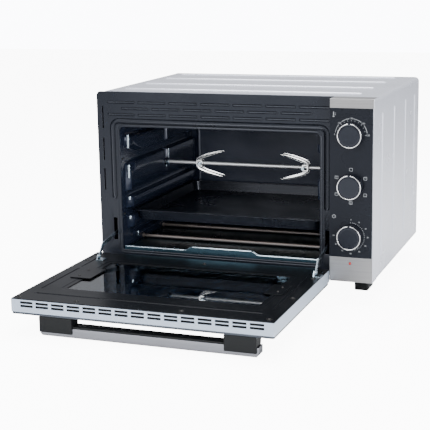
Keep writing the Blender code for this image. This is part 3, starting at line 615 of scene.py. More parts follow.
def formed(us, vs, outside, inside):
    """A closed skin between two surfaces, both given as a place for each (u, v)."""
    made = bmesh.new()
    outer = [[made.verts.new(outside(u, v)) for v in vs] for u in us]
    inner = [[made.verts.new(inside(u, v)) for v in vs] for u in us]
    for grid in (outer, inner):
        for i in range(len(us) - 1):
            for j in range(len(vs) - 1):
                made.faces.new((grid[i][j], grid[i + 1][j], grid[i + 1][j + 1], grid[i][j + 1]))
    for i in range(len(us) - 1):
        for j in (0, -1):
            made.faces.new((outer[i][j], outer[i + 1][j], inner[i + 1][j], inner[i][j]))
    for j in range(len(vs) - 1):
        for i in (0, -1):
            made.faces.new((outer[i][j], outer[i][j + 1], inner[i][j + 1], inner[i][j]))
    return made


print("a lathe part has", turned.__defaults__[0], "sides unless its drawing says more")

# %% [markdown]
# ## From a drawing to a piece of the oven
# A finished piece rides on the body that carries it, names its finish, and says which working parts it
# stands for. Some pieces are drawn from nothing. Others keep the working part's exact form and only get
# their edges broken, because a real edge is never quite sharp and the thin highlight along it shows the
# shape.


# %% Settling a piece on its body
SHARP_ANGLE = 32
LOOSE_CORNERS = 0.000005
FLAT_ANGLE = math.radians(1)
EDGE_ANGLE = math.radians(30)


def settle(thing, body, stands_for=()):
    """Ride a finished piece on its body, and hide the nodes it stands for."""
    if thing.name not in bpy.context.scene.collection.objects:
        bpy.context.scene.collection.objects.link(thing)
    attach(thing, body)
    if stands_for:
        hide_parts(*stands_for)
    return thing


def piece(name, made, surface, body, stands_for=(), sharp=SHARP_ANGLE):
    """Turn a bmesh drawn in millimetres into a finished piece."""
    for vertex in made.verts:
        vertex.co = at(*vertex.co)
    bmesh.ops.recalc_face_normals(made, faces=made.faces)
    mesh = bpy.data.meshes.new(name)
    made.to_mesh(mesh)
    made.free()
    mesh.materials.append(surface)
    mesh.shade_smooth()
    mesh.set_sharp_from_angle(angle=math.radians(sharp))
    return settle(bpy.data.objects.new(name, mesh), body, stands_for)


def evaluated(thing):
    """What an object is with its modifiers, as a plain mesh."""
    bpy.context.view_layer.update()
    graph = bpy.context.evaluated_depsgraph_get()
    return bpy.data.meshes.new_from_object(thing.evaluated_get(graph))


def merged_copy(node):
    """A node's mesh with its loose triangles joined and its flats made whole."""
    made = bmesh.new()
    made.from_mesh(nodes[node].data)
    bmesh.ops.remove_doubles(made, verts=made.verts, dist=LOOSE_CORNERS)
    bmesh.ops.dissolve_limit(made, angle_limit=FLAT_ANGLE, verts=made.verts, edges=made.edges)
    return made


def softened(node, surface, edge=0.4, segments=2, cutters=(), name=None):
    """A finished piece from a working node: its edges broken, as filing, tumbling or moulding leaves them."""
    made = merged_copy(node)
    mesh = bpy.data.meshes.new(node + "_blank")
    made.to_mesh(mesh)
    made.free()
    blank = bpy.data.objects.new(node + "_blank", mesh)
    bpy.context.scene.collection.objects.link(blank)
    for cutter in cutters:
        cut = blank.modifiers.new("cut", "BOOLEAN")
        cut.object = cutter
        cut.solver = "EXACT"
    bevel = blank.modifiers.new("edge", "BEVEL")
    bevel.width = edge * MM
    bevel.segments = segments
    bevel.limit_method = "ANGLE"
    bevel.angle_limit = EDGE_ANGLE
    bevel.use_clamp_overlap = True
    mesh.shade_smooth()
    blank.modifiers.new("flats", "WEIGHTED_NORMAL").keep_sharp = True
    result = evaluated(blank)
    bpy.data.objects.remove(blank)
    result.name = name or node + "_finished"
    result.materials.clear()
    result.materials.append(surface)
    thing = bpy.data.objects.new(name or node + "_finished", result)
    return settle(thing, nodes[node]["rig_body"], (node,))


print("edges sharper than", round(math.degrees(EDGE_ANGLE)), "degrees are broken")


# %% [markdown]
# ## Patterns that repeat
# Screws, vents, hoods and scale marks repeat. One tree sets a pattern out on a grid, another on given
# places that each say which way they face. Both end as real geometry with its finish set.


# %% Trees that set out a pattern
def node_tree(name, inputs):
    """An empty geometry tree with named inputs."""
    tree = bpy.data.node_groups.new(name, "GeometryNodeTree")
    tree.interface.new_socket("Geometry", in_out="INPUT", socket_type="NodeSocketGeometry")
    for label, kind, value in inputs:
        socket = tree.interface.new_socket(label, in_out="INPUT", socket_type=kind)
        if value is not None:
            socket.default_value = value
    tree.interface.new_socket("Geometry", in_out="OUTPUT", socket_type="NodeSocketGeometry")
    return tree, tree.nodes.new("NodeGroupInput"), tree.nodes.new("NodeGroupOutput")


def instance_end(tree, start, points, rotation=None):
    """Instance the pattern on points, make it real and set its finish."""
    pattern = tree.nodes.new("GeometryNodeObjectInfo")
    placed = tree.nodes.new("GeometryNodeInstanceOnPoints")
    real = tree.nodes.new("GeometryNodeRealizeInstances")
    surface = tree.nodes.new("GeometryNodeSetMaterial")
    end = next(node for node in tree.nodes if node.type == "GROUP_OUTPUT")
    link = tree.links.new
    link(start.outputs["Pattern"], pattern.inputs["Object"])
    link(points, placed.inputs["Points"])
    link(pattern.outputs["Geometry"], placed.inputs["Instance"])
    if rotation:
        link(rotation, placed.inputs["Rotation"])
    link(placed.outputs["Instances"], real.inputs["Geometry"])
    link(real.outputs["Geometry"], surface.inputs["Geometry"])
    link(start.outputs["Finish"], surface.inputs["Material"])
    link(surface.outputs["Geometry"], end.inputs["Geometry"])


def field_tree():
    """A pattern on a grid: columns across, rows up, both at their own pitch."""
    tree, start, _ = node_tree("pattern_field", [
        ("Columns", "NodeSocketInt", 4), ("Rows", "NodeSocketInt", 2), ("Width", "NodeSocketFloat", 0.1),
        ("Height", "NodeSocketFloat", 0.1), ("Turn", "NodeSocketRotation", None),
        ("Place", "NodeSocketVector", None), ("Pattern", "NodeSocketObject", None),
        ("Finish", "NodeSocketMaterial", None)])
    grid = tree.nodes.new("GeometryNodeMeshGrid")
    moved = tree.nodes.new("GeometryNodeTransform")
    link = tree.links.new
    link(start.outputs["Columns"], grid.inputs["Vertices X"])
    link(start.outputs["Rows"], grid.inputs["Vertices Y"])
    link(start.outputs["Width"], grid.inputs["Size X"])
    link(start.outputs["Height"], grid.inputs["Size Y"])
    link(grid.outputs["Mesh"], moved.inputs["Geometry"])
    link(start.outputs["Turn"], moved.inputs["Rotation"])
    link(start.outputs["Place"], moved.inputs["Translation"])
    instance_end(tree, start, moved.outputs["Geometry"])
    return tree


def facing_tree():
    """A pattern on given places, turned so that its own z points the way that each place faces."""
    tree, start, _ = node_tree("pattern_facing", [
        ("Pattern", "NodeSocketObject", None), ("Finish", "NodeSocketMaterial", None)])
    facing = tree.nodes.new("GeometryNodeInputNamedAttribute")
    facing.data_type = "FLOAT_VECTOR"
    facing.inputs["Name"].default_value = "facing"
    turn = tree.nodes.new("FunctionNodeAlignRotationToVector")
    turn.axis = "Z"
    tree.links.new(facing.outputs["Attribute"], turn.inputs["Vector"])
    instance_end(tree, start, start.outputs["Geometry"], turn.outputs["Rotation"])
    return tree


STANDING = (math.pi / 2, 0, 0)
FIELD = field_tree()
FACING = facing_tree()
print("pattern trees", FIELD.name, FACING.name)


# %% Running a tree
def grown(name, tree, start_mesh, values):
    """Run a tree on a mesh with its inputs set by identifier, and return the result as a plain mesh."""
    host = bpy.data.objects.new(name + "_host", start_mesh)
    bpy.context.scene.collection.objects.link(host)
    modifier = host.modifiers.new("pattern", "NODES")
    modifier.node_group = tree
    for item in tree.interface.items_tree:
        if item.in_out == "INPUT" and item.name in values:
            modifier[item.identifier] = values[item.name]
    mesh = evaluated(host)
    host.modifiers.remove(modifier)
    bpy.data.objects.remove(host)
    mesh.name = name
    return mesh


def pattern_object(name, made):
    """A pattern drawn in millimetres about its own middle, kept out of the picture."""
    for vertex in made.verts:
        vertex.co = vertex.co * MM
    bmesh.ops.recalc_face_normals(made, faces=made.faces)
    mesh = bpy.data.meshes.new(name)
    made.to_mesh(mesh)
    made.free()
    mesh.shade_smooth()
    mesh.set_sharp_from_angle(angle=math.radians(SHARP_ANGLE))
    return bpy.data.objects.new(name, mesh)


def set_out(name, pattern, surface, places, body):
    """Copies of a pattern at (place, facing) pairs, as one finished piece."""
    points = bpy.data.meshes.new(name + "_places")
    points.from_pydata([at(*place) for place, _ in places], [], [])
    facing = points.attributes.new("facing", "FLOAT_VECTOR", "POINT")
    for item, (_, way) in zip(facing.data, places):
        item.vector = way
    mesh = grown(name, FACING, points, {"Pattern": pattern, "Finish": surface})
    return settle(bpy.data.objects.new(name, mesh), body)


print("patterns can be set out")

# %% [markdown]
# ## The casing
# The real casing is one sheet folded over the top and both sides, with four shallow beads rolled into each
# face to stiffen it. It is drawn as one skin that runs up the left side, over the top and down the right,
# and the beads are a swelling whose height depends on the distance to a bead's line. The front edge is
# rolled in.

# %% Casing
SHEET = 1.2
CASING_FRONT = span("outer_casing")[0].y
CORNER = 10.0
SIDE_BEADS = [45, 150, 257, 352]
TOP_BEADS = [70, 170, 278, 370]
SIDE_BEAD_ENDS = (37, 302)
TOP_BEAD_ENDS = (33, 511)
BEAD_HALF = 4.5
BEAD_RISE = 1.9
FRONT_ROLL = 7.0
ROLLED_IN = 3.2
ROLL_SHARE = 0.93
ARC = CORNER * math.pi / 2
SIDE_RUN = HEIGHT - CORNER
TOP_RUN = WIDTH - 2 * CORNER
GIRTH = 2 * SIDE_RUN + 2 * ARC + TOP_RUN
print("sheet needed for the casing", round(GIRTH), "mm round")


def around(s):
    """A point of the casing's section and its outward way, s millimetres from the lower left edge."""
    if s <= SIDE_RUN:
        return Vector((0, s)), Vector((-1, 0))
    if s <= SIDE_RUN + ARC:
        angle = (s - SIDE_RUN) / CORNER
        out = Vector((-math.cos(angle), math.sin(angle)))
        return Vector((CORNER, HEIGHT - CORNER)) + out * CORNER, out
    if s <= SIDE_RUN + ARC + TOP_RUN:
        return Vector((CORNER + s - SIDE_RUN - ARC, HEIGHT)), Vector((0, 1))
    point, out = around(GIRTH - s)
    return Vector((WIDTH - point.x, point.y)), Vector((-out.x, out.y))


def swell(distance):
    """How far a bead stands out at a distance from its line."""
    if distance >= BEAD_HALF:
        return 0.0
    return BEAD_RISE * (0.5 + 0.5 * math.cos(math.pi * distance / BEAD_HALF))


def bead_rise(point, out, y):
    """How far the beads stand out at a point of the casing."""
    if abs(out.x) > 0.99:
        beyond = max(SIDE_BEAD_ENDS[0] - point.y, point.y - SIDE_BEAD_ENDS[1], 0)
        beads = SIDE_BEADS
    elif out.y > 0.99:
        beyond = max(TOP_BEAD_ENDS[0] - point.x, point.x - TOP_BEAD_ENDS[1], 0)
        beads = TOP_BEADS
    else:
        return 0.0
    return max(swell(math.hypot(beyond, y - bead)) for bead in beads)


def casing_skin(depth):
    """The casing's surface, depth inside its outer face."""
    def place(s, y):
        point, out = around(s)
        ahead = max(0.0, CASING_FRONT + FRONT_ROLL - y)
        rolled = ROLLED_IN * (1 - math.sqrt(max(0.0, 1 - (ahead / FRONT_ROLL) ** 2 * ROLL_SHARE)))
        point = point - out * (BEAD_RISE - bead_rise(point, out, y) + depth + rolled)
        return Vector((point.x, y, point.y))
    return place


def close_to(marks, reach, steps):
    """Extra divisions on both sides of each mark, and one beyond them that keeps the flat beside it flat."""
    offsets = [reach * i / steps for i in range(-steps, steps + 1)] + [-reach - 1, reach + 1]
    return [mark + offset for mark in marks for offset in offsets]


def runs(s_list, low, high):
    """The divisions between two limits, in order and each only once."""
    return sorted({round(s, 3) for s in s_list if low <= s <= high})


# %% Dividing and bending the casing
BESIDE_CORNER = 0.01
side_s = [0, 60, 120, 180, 240, SIDE_RUN] + close_to(SIDE_BEAD_ENDS, BEAD_HALF, 4)
arc_s = [SIDE_RUN + ARC * i / 6 for i in range(1, 7)]
top_x = [CORNER + BESIDE_CORNER, 120, 200, 280, 360, 440, WIDTH - CORNER - BESIDE_CORNER]
top_s = [x - CORNER + SIDE_RUN + ARC for x in top_x + close_to(TOP_BEAD_ENDS, BEAD_HALF, 4)]
girth = runs(side_s, 0, SIDE_RUN) + arc_s + runs(top_s, 0, GIRTH)
girth = sorted(set(girth + [round(GIRTH - s, 3) for s in side_s + arc_s]))
lengths = [CASING_FRONT + d for d in (0, 0.3, 0.8, 1.6, 2.8, 4.5, FRONT_ROLL)] + [REAR]
lengths += close_to(SIDE_BEADS + TOP_BEADS, BEAD_HALF, 6)
lengths = sorted({round(y, 3) for y in lengths if CASING_FRONT <= y <= REAR})
casing = formed(girth, lengths, casing_skin(0), casing_skin(SHEET))
piece("casing", casing, casing_paint, "cabinet", ("outer_casing",), sharp=50)
print("casing", len(girth), "by", len(lengths), "divisions")

# %% [markdown]
# ## The front frame
# The black front sheet has a mouth for the cavity with a rolled rim, three rows of pressed louvres above
# it, slots beside it, a tall slot on each side for the door's arm, and a half-round channel that stiffens
# the sheet like a bent hairpin. Its front is drawn as one flat with every rim as a ring of points, so that
# all of the openings share one face and nothing has to be cut.

# %% Front frame
FRAME_LOW, FRAME_HIGH = span("front_frame")
FRAME_SHEET = 1.2
FRAME_RADII = (3, 0.6, 0.6, 9)
MOUTH = (46.5, 22, 451.5, 268)
MOUTH_RADII = (3, 3, 10, 10)
MOUTH_ROLL = [(6.4, 0.0), (5.8, 0.0), (5.2, 0.35), (4.4, 0.5), (3.8, 0.3), (3.0, -0.15), (2.2, -0.3),
              (1.2, -0.2), (0.4, 0.25), (0.0, 0.9), (0.0, 1.6), (0.6, 1.6), (6.4, FRAME_SHEET + 0.6),
              (7.0, FRAME_SHEET)]


def front(x, z, depth):
    """A place on the front sheet."""
    return Vector((x, depth, z))


def frame_outline(inset):
    """The front sheet's own outline, a little further in."""
    return rounded(FRAME_LOW.x + inset, FRAME_LOW.z + inset, FRAME_HIGH.x - inset, FRAME_HIGH.z - inset,
                   FRAME_RADII, 5)


def bend(points, radius, steps=5):
    """A path whose inner corners are rounded."""
    path = [Vector(points[0])]
    for before, corner, after in zip(points, points[1:], points[2:]):
        corner = Vector(corner)
        back = (Vector(before) - corner).normalized()
        ahead = (Vector(after) - corner).normalized()
        centre = corner + (back + ahead) * radius
        for i in range(steps + 1):
            angle = math.pi / 2 * i / steps
            path.append(centre - ahead * radius * math.cos(angle) - back * radius * math.sin(angle))
    return path + [Vector(points[-1])]


print("front sheet", round(FRAME_HIGH.x - FRAME_LOW.x), "by", round(FRAME_HIGH.z - FRAME_LOW.z), "mm")

# %% Openings in the front frame
LOUVRE_HALF = 2.7
LOUVRE_DEPTH = 2.2
LOUVRE_PITCH = 65
SIDE_SLOT_X = 12
SIDE_SLOT_HALF = 1.9
ARM_SLOT_X = (28, 462)
ARM_SLOT = (8, 41, 86)
ARM_SLOT_RADII = (1, 1, 1, 1)


def arm_slot(x, more):
    """The outline of a door arm's slot whose left edge is at x."""
    width, low, high = ARM_SLOT
    return grown_box(x, low, x + width, high, ARM_SLOT_RADII, more)


louvres = [[(25 + LOUVRE_PITCH * i, z), (79 + LOUVRE_PITCH * i, z)] for z in (316, 292) for i in range(7)]
louvres += [[(54.5 + LOUVRE_PITCH * i, 304), (108 + LOUVRE_PITCH * i, 304)] for i in range(6)]
side_slots = [[(SIDE_SLOT_X, low), (SIDE_SLOT_X, high)] for low, high in ((265, 306), (202, 244), (142, 183))]
slots = [slot_rings(path, SIDE_SLOT_HALF, 0.8, FRAME_SHEET) for path in side_slots]
slots += [[(arm_slot(x, 0.5), 0), (arm_slot(x, 0), 0.2), (arm_slot(x, 0), FRAME_SHEET)] for x in ARM_SLOT_X]
slots.append([(grown_box(*MOUTH, MOUTH_RADII, more), depth) for more, depth in MOUTH_ROLL])
recesses = [channel_rings(path, LOUVRE_HALF, LOUVRE_DEPTH, FRAME_SHEET) for path in louvres]
print("openings", len(slots), "louvres", len(louvres))

# %% Pressing the front frame
HAIRPIN_HALF = 5.6
HAIRPIN_DEPTH = 4.2
HAIRPIN_BEND = 13
hairpin = bend([(32.7, 129), (32.7, 279.5), (465.3, 279.5), (465.3, 129)], HAIRPIN_BEND)
outer = [(frame_outline(inset), depth) for inset, depth in
         ((0.9, 0), (0.5, 0), (0.1, 0.2), (0, 0.6), (0, FRAME_SHEET))]
front_sheet = pressed(front, outer, slots,
                      recesses + [channel_rings(hairpin, HAIRPIN_HALF, HAIRPIN_DEPTH, FRAME_SHEET)])
piece("front_sheet", front_sheet, frame_paint, "cabinet", ("front_frame",))
print("front sheet", len(hairpin), "points along the hairpin")

# %% [markdown]
# ## The cavity's side walls
# Each side wall is one sheet with five ledges pressed into it, which hold racks and trays at their levels.
# The wall is drawn as a skin whose depth at every place is the height of the nearest ledge, so a ledge's
# flank is a smooth slope as a press leaves it, and glossy black enamel mirrors what stands inside. The left
# wall has a notch for the rod's free end, and the right wall has a bore for the motor's socket.

# %% Ledges and the spit's line
# Each ledge: its front end, its lowest and highest edge, how much longer its nose is, and how far its foot
# rises and its head drops towards the front.
LEDGES = [(52, 37, 50, 2, 0, 0), (20, 58, 87.5, 14, 0, 0), (20, 98.5, 126, 14, 0, 0),
          (20, 134, 196, 2, 0, 4.0), (20, 208.5, 248, 2, 15.5, 0)]
FOOT_RAMP = (88, 62)
HEAD_RAMP = (60, 36)
LEDGE_RISE = 11.0
LEDGE_BACK = 384.5
FLANK = 5.0
SPIT_Y = 208
SPIT_Z = 166
NOTCH_FRONT = 203
NOTCH_REAR = 213
NOTCH_BOTTOM = 162.2
NOTCH_ZONE = 158
NOTCH_FLANK = 4.0
NOTCH_LIP = 0.15
WALL_FACES = {"left": 46.2, "right": 451.8}
WALL_BACK = span("liner_left_wall")[1].y
WALL_FRONT = span("liner_left_wall")[0].y
WALL_LOW = span("liner_left_wall")[0].z
WALL_HIGH = span("liner_left_wall")[1].z
print("ledges", len(LEDGES), "wall", round(WALL_BACK - WALL_FRONT), "by", round(WALL_HIGH - WALL_LOW), "mm")


# %% The walls' shape
def eased(value):
    """Nothing below 0, all above 1, and a smooth rise between."""
    value = min(max(value, 0.0), 1.0)
    return value * value * (3 - 2 * value)


def ledge_height(y, z, notched):
    """How far the pressed ledges stand into the cavity at a place on the wall."""
    best = 0.0
    for start, low, high, nose, foot_rise, head_drop in LEDGES:
        foot = low + foot_rise * eased((FOOT_RAMP[0] - y) / FOOT_RAMP[1])
        head = high - head_drop * eased((HEAD_RAMP[0] - y) / HEAD_RAMP[1])
        inside = min(z - foot, head - z) / FLANK
        ahead = (y - start) / (FLANK + nose)
        best = max(best, eased(inside) * eased(ahead) * eased((LEDGE_BACK - y) / FLANK))
    if notched and z > NOTCH_ZONE:
        beside = max(NOTCH_FRONT - y, y - NOTCH_REAR, NOTCH_BOTTOM - z) / NOTCH_FLANK
        best = min(best, eased(beside + NOTCH_LIP) if beside > 0 else 0.0)
    return LEDGE_RISE * best


def wall_skin(side, depth):
    """A side wall's surface, depth behind its inner face."""
    inward = 1 if side == "left" else -1
    base = WALL_FACES[side]

    def place(z, y):
        return Vector((base + inward * (ledge_height(y, z, side == "left") - depth), y, z))
    return place


def every(start, step, count):
    """Evenly spaced divisions."""
    return [start + step * i for i in range(count)]


print("the wall's height beside a ledge and on one", ledge_height(300, 50.5, False),
      ledge_height(300, 225, False))

# %% Pressing the walls
# The divisions crowd together where a ledge begins or ends, and round the notch.
SOCKET_BORE = 7.6
SOCKET_REACH = (425, 460)
wall_z = [WALL_LOW, WALL_HIGH, 265, 255] + every(192, 2, 17) + every(158, 1.5, 12)
for _, low, high, *_ in LEDGES:
    wall_z += [low, high, (low + high) / 2]
    wall_z += [low + FLANK * i / 5 for i in range(1, 6)] + [high - FLANK * i / 5 for i in range(1, 6)]
wall_y = [WALL_FRONT, WALL_BACK, 10, 17] + every(20, 2.2, 10) + every(44, 5, 12) + every(110, 15, 6)
wall_y += every(196, 1.5, 17) + every(235, 20, 7) + every(LEDGE_BACK, -1.25, 6)
bore = turned(bmesh.new(), [(radius, x) for radius, x in zip(
    (0, SOCKET_BORE, SOCKET_BORE, 0), (SOCKET_REACH[0], *SOCKET_REACH, SOCKET_REACH[1]))],
    (0, SPIT_Y, SPIT_Z), "x", 32)
bore_cutter = pattern_object("socket_bore", bore)
bore_cutter.data.transform(Matrix.Translation(ORIGIN))
bpy.context.scene.collection.objects.link(bore_cutter)
for side in ("left", "right"):
    zs = sorted({round(z, 2) for z in wall_z if WALL_LOW <= z <= WALL_HIGH})
    ys = sorted({round(y, 2) for y in wall_y if WALL_FRONT <= y <= WALL_BACK})
    made = formed(zs, ys, wall_skin(side, 0), wall_skin(side, SHEET))
    wall = piece(f"cavity_wall_{side}", made, cavity_enamel, "cabinet",
                 (f"liner_{side}_wall",), 60)
    if side == "right":
        cut = wall.modifiers.new("socket", "BOOLEAN")
        cut.object = bore_cutter
        cut.solver = "EXACT"
        wall.data = evaluated(wall)
        wall.modifiers.clear()
bpy.data.objects.remove(bore_cutter)
print("cavity walls", len(zs), "by", len(ys), "divisions each")

# %% [markdown]
# ## Ledge ends and the spit's rest
# Small bright strips on the front ends of the left ledges are painted highlights: bright steel put where
# the ledges' fronts catch the light. Beside the notch stands a bent strip with a ring, which the rod's free
# end drops into. They are short bars with broken edges, so an outline lofted along the bar is enough, and
# the ring is the same kind of loft with its ends joined.

# %% Ledge ends, bright strips of painted highlight
LEDGE_ENDS = [(18.2, 223, 250), (18.2, 163, 190), (18.2, 119, 126), (18.2, 80, 87), (50.2, 38.5, 49)]
LEDGE_END_X = (53.6, 57.6)
LEDGE_END_THICKNESS = 1.4


def bar_box(made, low, high, edge):
    """A bar with rounded long edges, drawn as an outline in x and z lofted along y."""
    for_y = [(low[1], edge), (low[1] + edge, 0), (high[1] - edge, 0), (high[1], edge)]
    loft(made, [[Vector((u, y, v)) for u, v in rounded(low[0] + inset, low[2] + inset, high[0] - inset,
                                                       high[2] - inset, [edge] * 4, 2)]
                for y, inset in for_y])


def spit_ring(x, radius, steps=32):
    """A ring of places round the spit's line."""
    return [Vector((x, SPIT_Y + radius * math.cos(a), SPIT_Z + radius * math.sin(a)))
            for a in [2 * math.pi * i / steps for i in range(steps)]]


# Painted highlight: bright tabs stand in for the light caught by the ledges' front ends.
ends = bmesh.new()
for y, low, high in LEDGE_ENDS:
    bar_box(ends, (LEDGE_END_X[0], y, low), (LEDGE_END_X[1], y + LEDGE_END_THICKNESS, high), 0.4)
piece("ledge_end_clips", ends, bright_steel, "cabinet")
print("ledge ends", len(LEDGE_ENDS))

# %% The spit's rest
REST_X = (57.6, 59.2)
REST_RING = [(57.8, 4.6), (57.8, 7.0), (58.3, 7.6), (62, 7.6), (62.6, 7.0), (62.6, 4.6)]
rest = bmesh.new()
bar_box(rest, (REST_X[0], 215, 161), (REST_X[1], 221, 193), 0.5)
bar_box(rest, (REST_X[0], 201, 154.5), (REST_X[1], 221, 160.5), 0.5)
loft(rest, [spit_ring(x, radius) for x, radius in REST_RING], joined=True)
piece("spit_rest", rest, bright_steel, "cabinet")
print("the rod rests at", SPIT_Y, "mm back and", SPIT_Z, "mm up")

# %% [markdown]
# ## Cavity floor, roof, back and heaters
# The floor and roof are plain sheets. The back has a raised border that stops it drumming as it warms, so
# it is another skin. The four heaters are sheathed rods, a pair above and a pair below, tanned by use.

# %% Floor, roof and back
for part in ("floor", "roof"):
    softened(f"liner_{part}", cavity_enamel, 0.3)
BACK_LOW, BACK_HIGH = span("liner_back")
BORDER_INSET = 17
BORDER_HALF = 5.0
BORDER_RISE = 2.2


def back_dent(x, z):
    """How far the raised border of the back wall stands forward."""
    edge = min(x - BACK_LOW.x, BACK_HIGH.x - x, z - BACK_LOW.z, BACK_HIGH.z - z)
    return BORDER_RISE * eased(1 - abs(edge - BORDER_INSET) / BORDER_HALF)


def back_skin(depth):
    """The back wall's surface, depth behind its front face."""
    return lambda x, z: Vector((x, BACK_LOW.y + depth - back_dent(x, z), z))


def crowded(low, high):
    """Divisions that crowd round a border near both ends."""
    near = [BORDER_INSET + BORDER_HALF * i / 4 for i in range(-4, 5)]
    return sorted([low, (low + high) / 2, high] + [low + d for d in near] + [high - d for d in near])


back_wall = formed(crowded(BACK_LOW.x, BACK_HIGH.x), crowded(BACK_LOW.z, BACK_HIGH.z), back_skin(0),
                   back_skin(SHEET))
piece("cavity_back", back_wall, cavity_enamel, "cabinet", ("liner_back",), 60)
print("back wall", round(BACK_HIGH.x - BACK_LOW.x), "by", round(BACK_HIGH.z - BACK_LOW.z), "mm")

# %% Heaters
for level in ("lower", "upper"):
    for place in ("front", "rear"):
        softened(f"heater_{level}_{place}", heater_sheath, 0.3)
heater_levels = [round(span(f"heater_{level}_front")[0].z) for level in ("lower", "upper")]
print("heaters at", heater_levels, "mm up")

# %% [markdown]
# ## Underneath and behind
# The back and the base are plain galvanised sheet. Four moulded feet hold the oven off the table, a gland
# guards the hole for the cord, and the motor and the switches sit behind the panel. Their working shapes
# are already right, so each only has its edges broken: barely on sheet, and more on moulded plastic.

# %% Back, base, feet and cable gland
softened("rear_cover", zinc_sheet, 0.3)
softened("base_plate", zinc_sheet, 0.3)
softened("cable_gland", black_plastic, 0.6, 3)
for corner in ("front_left", "front_right", "rear_left", "rear_right"):
    softened(f"foot_{corner}", black_plastic, 1.6, 4)
softened("drive_motor", motor_can, 1.2, 3)
for part in ("thermostat", "function_switch", "timer"):
    softened(part, switch_body, 1.0, 3)
print("feet", round(span("foot_front_left")[1].z - span("foot_front_left")[0].z), "mm tall")

# %% [markdown]
# ## The trays
# The baking tray is pressed and enamelled black. The crumb tray is zinc-plated, and its front edge is
# rolled over and swells into a grip in the middle. The working tray has a square step there, so two wedges
# slope its ends with a Boolean, and a bent wire form laid along the edge makes the roll. The roll is in
# bright steel, far paler than the tray's darkened zinc, as a painted highlight along the edge.

# %% Trays
softened("baking_tray", tray_enamel, 0.4, 3)
CRUMB_LIP = 28.0
GRIP_TOP = 35.0
GRIP_ENDS = (180, 328)
GRIP_SLOPE = 12
WEDGE_REACH = (-2, 12)
wedges = bmesh.new()
for end, inward in zip(GRIP_ENDS, (1, -1)):
    outline = [(end - inward * 2, CRUMB_LIP + 0.2), (end, CRUMB_LIP + 0.2),
               (end + inward * GRIP_SLOPE, GRIP_TOP + 1), (end - inward * 2, GRIP_TOP + 1)]
    loft(wedges, [[Vector((u, y, v)) for u, v in outline] for y in WEDGE_REACH])
for vertex in wedges.verts:
    vertex.co = at(*vertex.co)
bmesh.ops.recalc_face_normals(wedges, faces=wedges.faces)
wedge_mesh = bpy.data.meshes.new("wedges")
wedges.to_mesh(wedge_mesh)
wedges.free()
wedge = bpy.data.objects.new("wedges", wedge_mesh)
bpy.context.scene.collection.objects.link(wedge)
# The tray's zinc carries painted shade, darkened for the cavity above it.
softened("crumb_tray", tray_zinc, 0.3, 2, cutters=(wedge,))
bpy.data.objects.remove(wedge)
print("crumb tray grip", GRIP_ENDS[1] - GRIP_ENDS[0], "mm long")


# %% The crumb tray's rolled edge, bright as a painted highlight
def tube(made, path, radius, sides=8):
    """A round wire along a path in a plane across y."""
    loops = []
    for i, point in enumerate(path):
        along = (path[min(i + 1, len(path) - 1)] - path[max(i - 1, 0)]).normalized()
        across = Vector((-along.z, 0, along.x))
        loops.append([point + (across * math.cos(a) + Vector((0, 1, 0)) * math.sin(a)) * radius
                      for a in [2 * math.pi * k / sides for k in range(sides)]])
    loft(made, loops)


roll_path = [(50.8, CRUMB_LIP), (174, CRUMB_LIP), (181, CRUMB_LIP + 0.6), (189, GRIP_TOP - 0.9),
             (194, GRIP_TOP), (314, GRIP_TOP), (319, GRIP_TOP - 0.9), (327, CRUMB_LIP + 0.6),
             (334, CRUMB_LIP), (447.2, CRUMB_LIP)]
roll = bmesh.new()
tube(roll, [Vector((x, 2.3, z)) for x, z in roll_path], 0.7)
tube(roll, [Vector((x, 6.6, z - 0.1)) for x, z in roll_path], 0.5)
# Painted highlight: the zinc tray's roll takes bright steel, a lit copy of the darkened zinc.
piece("crumb_tray_roll", roll, bright_steel, "crumb_tray")
print("rolled edge", round(roll_path[-1][0] - roll_path[0][0]), "mm")

# %% [markdown]
# ## The control panel
# A silver brushed housing carries a glossy black facia with printed scales, three knobs and a lamp. The
# housing's outer side wall is painted like the casing beside it, so its faces past a line take the casing's
# paint. Two materials on one mesh keep it a single piece, as it is on the real oven. The lamp is turned.

# %% Housing and facia
OUTER_WALL_X = 557.9
housing = softened("control_housing", panel_silver, 1.1, 3)
housing.data.materials.append(casing_paint)
for face in housing.data.polygons:
    face.material_index = 1 if face.center.x > at(OUTER_WALL_X, 0, 0).x else 0
softened("control_facia", facia_black, 0.5, 3)
PANEL_FRONT = span("control_facia")[0].y
print("the facia stands", round(-PANEL_FRONT, 1), "mm in front of the cabinet")

# %% Lamp
LAMP_PLACE = (517.7, 0, 35)
LAMP_PROFILE = [(0, -33.1), (1.2, -33.0), (2.0, -32.6), (2.4, -32.0), (2.4, -26), (0, -26)]
lamp = turned(bmesh.new(), LAMP_PROFILE, LAMP_PLACE, "y", 32)
piece("lamp", lamp, lamp_lens, "cabinet", ("indicator_lamp",))
print("lamp at", LAMP_PLACE)

# %% [markdown]
# ## Knobs
# Each knob is a turned shape with a skirt, and a bright open ring let into its rim. The break in the ring
# is the pointer, so the ring is a small rounded section swept round all but twelve degrees. Knob and ring
# are two pieces on the same body, because they are made of different stuff and turn together.

# %% Knobs
KNOB_X = 518.5
KNOB_LEVELS = {"temperature": 272.5, "function": 179.0, "timer": 86.0}
KNOB_PROFILE = [(0, -48.2), (16, -48.35), (18.8, -48.4), (19.8, -48.2), (20.15, -47.7), (20.2, -46.7),
                (22.2, -46.7), (22.25, -46.2), (22.25, -38.5), (22.4, -37.2), (22.9, -35.6), (23.3, -34.4),
                (23.4, -33.4), (23.3, -32.5), (22.9, -32.3), (0, -32.3)]
KNOB_SIDES = 96
RING_SECTION = rounded(20.4, -49.2, 22.2, -46.9, (0.6, 0.6, 0.3, 0.3), 3)
RING_GAP = math.radians(6)
RING_STEPS = 72


